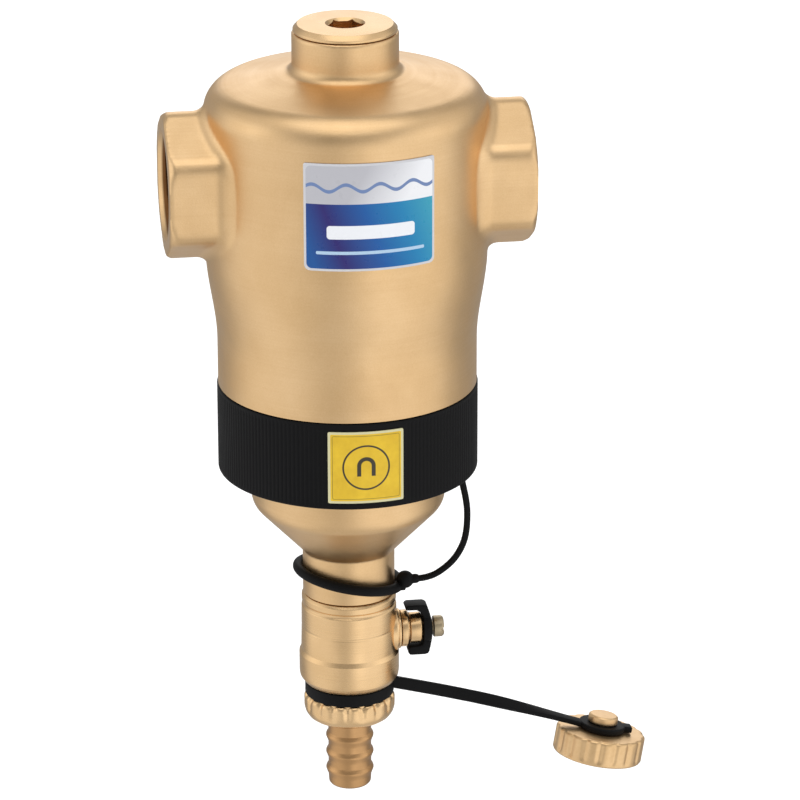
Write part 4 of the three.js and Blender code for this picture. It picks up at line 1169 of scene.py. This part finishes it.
def strap_band():
    """The band from ring to eye, twisting a quarter turn on its way."""
    start = Vector((13.4, 0, RING_MIDDLE))
    end = AT_CAP @ Vector((-6.7, 0, 0))
    section = rounded_section(STRAP_WIDTH, STRAP_THICKNESS)
    points, steps = [], 48
    for i in range(steps + 1):
        t = i / steps
        turn = (pi / 2) * (1 - smoothstep(t, 0.15, 0.95))
        centre = start.lerp(end, t) + Vector((0, 0, STRAP_RISE * sin(pi * t)))
        for y, z in section:
            across = y * cos(turn) - z * sin(turn)
            up = y * sin(turn) + z * cos(turn)
            points.append(centre + Vector((0, across, up)))
    count = len(section)
    faces = [tuple(reversed(range(count))), tuple(range(len(points) - count, len(points)))]
    for i in range(steps):
        for k in range(count):
            m = (k + 1) % count
            faces.append((i * count + k, i * count + m, (i + 1) * count + m, (i + 1) * count + k))
    return mesh_object("strap_band", points, faces)


def cap_strap():
    ring = lathe("strap", soften(rectangle(RING_INNER, RING_OUTER, RING_LOW, RING_HIGH), 0.45, 4))
    eye = lathe("strap_eye", soften(rectangle(0, EYE, -1, 1), 0.5, 4), 64, AT_CAP)
    tab = bevel(block("strap_tab", (4, 4.4, 2), (7.7, 0, 0), AT_CAP), 0.5)
    boolean(ring, [strap_band(), eye, tab], "UNION")
    hole = lathe("eye_hole", rectangle(0, EYE_HOLE, -2, 2), 48, AT_CAP)
    boolean(ring, [hole, lathe("ring_bore", rectangle(0, RING_INNER, -173, -165))])
    smooth(ring, 40)
    finish_piece(ring, "cap_strap", BLACK, "strap")


def cap_flutes(radius, height, angle):
    """Upright flutes in the cap's wall, fading out at its rim."""
    wave = (0.5 + 0.5 * np.cos(FLUTES * angle)) ** 3.0
    reach = np.clip(height + 9.0, 0, 1)
    edge = np.clip((radius - CAP + 2.2) / 0.8, 0, 1)
    return radius - 0.5 * wave * reach * edge


def drain_cap():
    wall = [(CAP, h) for h in np.linspace(-9.2, -2.5, 12)]
    outline = [(0, -3.3), (13.2, -3.3), (13.2, CAP_RIM), (CAP - 0.3, CAP_RIM), *wall,
               *arc(CAP - 1.0, -2.3, 1.0, 0, 85, 6), (CAP - 1.6, CAP_TOP), (4, CAP_TOP), (4, 1.3), (4.8, 1.3),
               (4.8, 3.3), (4.2, 3.8), (0, 3.8)]
    spun("cap", "drain_cap", CAP_BRASS, soften(outline), FLUTES * 12, AT_CAP, cap_flutes, body="cap")


def nut_flutes(radius, height, angle):
    """Shallow flutes on the nut, cut deeper towards its top edge."""
    wave = (0.5 + 0.5 * np.cos(FLUTES * angle)) ** 2.4
    depth = 0.45 * np.clip((height + 177.0) / 2, 0, 1) + 0.6 * np.clip((height + 173.6) / 1.6, 0, 1)
    edge = np.clip((radius - 13.3) / 0.5, 0, 1)
    return radius - depth * wave * edge


def hose_fittings():
    foot = arc(NUT - NUT_ROUNDING, -175.4, NUT_ROUNDING, -75, 0, 9)
    wall = [(NUT, h) for h in np.linspace(-175.0, -173.1, 8)] + arc(NUT - 1.7, -172.9, 1.7, 5, 62, 6)
    outline = [(NUT_HOLE, NUT_BOTTOM), (NUT - NUT_ROUNDING, NUT_BOTTOM), *foot, *wall,
               (NUT_BORE, NUT_TOP), (NUT_BORE, -178.5), (NUT_HOLE, -178.5)]
    nut = lathe("nut", outline, FLUTES * 12, shape=nut_flutes)
    smooth(nut, 40)
    finish_piece(nut, "hose_nut", TURNED, "union_nut")
    spun("washer", "hose_washer", RUBBER, soften(rectangle(6.5, 12.6, -177.0, -176.1), 0.2), 64)
    outline = [(TAIL_BORE, -203.2), (6.1, -203.2), (6.7, -202.5)]
    for ridge in TAIL_RIDGES:
        outline += [(TAIL_GROOVE, ridge - 2.4), (6.9, ridge - 2.0), (7.4, ridge - 0.7), (7.58, ridge - 0.2),
                    (7.6, ridge + 0.2), (7.4, ridge + 0.7), (6.9, ridge + 1.4), (TAIL_GROOVE, ridge + 1.8)]
    outline += [(TAIL_GROOVE, -178.4), (12.6, -178.4), (12.6, -177.2), (TAIL_BORE, -177.2)]
    spun("tail", "hose_tail", TAIL_BRASS, soften(outline))


def seals():
    spun("gasket", "cap_gasket", RUBBER, soften(rectangle(6, 12.8, -5.2, -3.6)), 64, AT_CAP, body="cap")
    spun("plug_ring", "plug_seal", RUBBER, soften(rectangle(12.4, 14.5, 45.4, 46.3), 0.2))
    spun("o_ring", "chamber_o_ring", RUBBER, arc(33.95, -50.8, 0.85, 0, 360, 16)[:-1], 128)


def filter_core():
    """The finned core inside keeps its CAD mesh."""
    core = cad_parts["filter_element"]
    core.data.materials.clear()
    core.data.materials.append(GREY)


upper_body()
top_plug()
lower_chamber()
magnet_collar()
labels()
neck_loop()
valve_body()
cock_inside()
spindle_and_gland()
handle()
handle_screw()
cap_strap()
drain_cap()
hose_fittings()
seals()
filter_core()

# ---- Floor and light ----

FLOOR_HALF_SIDE = 6000
FLOOR_DROP = 0.12  # metres below the lowest point
FLOOR_GLOW = 0.45
AMBIENT = 0.40
PANELS = [  # turn, rise, inner and outer edge in degrees, brightness
    (55, -12, 18, 58, 0.72),
    (-72, -12, 20, 58, 0.58),
    (0, -20, 5, 42, 0.32),
    (180, 22, 14, 27, 0.95),
    (0, 78, 20, 40, 1.05),
    (95, 28, 10, 40, 0.45),
    (-95, 28, 10, 40, 0.45),
    (0, -90, 20, 60, 0.30),
]


def floor():
    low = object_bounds()[0]
    side = FLOOR_HALF_SIDE
    corners = [(-side, -side, 0), (side, -side, 0), (side, side, 0), (-side, side, 0)]
    obj = mesh_object("floor", corners, [(0, 1, 2, 3)])
    obj.location.z = low[2] - FLOOR_DROP
    obj.visible_glossy = False
    n = Nodes(bpy.data.materials.new("pale_floor"))
    n.shader.inputs["Base Color"].default_value = (0.9, 0.9, 0.9, 1)
    n.shader.inputs["Roughness"].default_value = 0.9
    n.shader.inputs["Specular IOR Level"].default_value = 0.0
    n.shader.inputs["Emission Color"].default_value = (1, 1, 1, 1)
    n.shader.inputs["Emission Strength"].default_value = FLOOR_GLOW
    obj.data.materials.append(n.owner)
    obj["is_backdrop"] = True


def lights():
    """A studio as one sky: a dim surround with soft bright panels, plain white where the camera sees it."""
    world = bpy.data.worlds.new("studio")
    n = Nodes(world)
    direction = n.new("ShaderNodeTexCoord").outputs["Generated"]
    total = AMBIENT
    for turn, rise, inner, outer, strength in PANELS:
        middle = heading(CAMERA_AZIMUTH + radians(turn), radians(rise))
        facing = n.new("ShaderNodeVectorMath", {0: direction, 1: middle}, operation="DOT_PRODUCT").outputs["Value"]
        edges = {"From Min": cos(radians(outer)), "From Max": cos(radians(inner))}
        inputs = {"Value": facing, **edges, "To Max": strength}
        spread = n.new("ShaderNodeMapRange", inputs, interpolation_type="SMOOTHSTEP")
        total = n.plus(spread.outputs[0], total)
    seen = n.new("ShaderNodeLightPath").outputs["Is Camera Ray"]
    hidden = n.times(n.minus(1.0, seen), total)
    n.set(n.shader.inputs["Strength"], n.plus(seen, hidden))
    n.shader.inputs["Color"].default_value = (1, 1, 1, 1)
    bpy.context.scene.world = world


floor()
lights()
bpy.context.scene.view_settings.view_transform = "Standard"
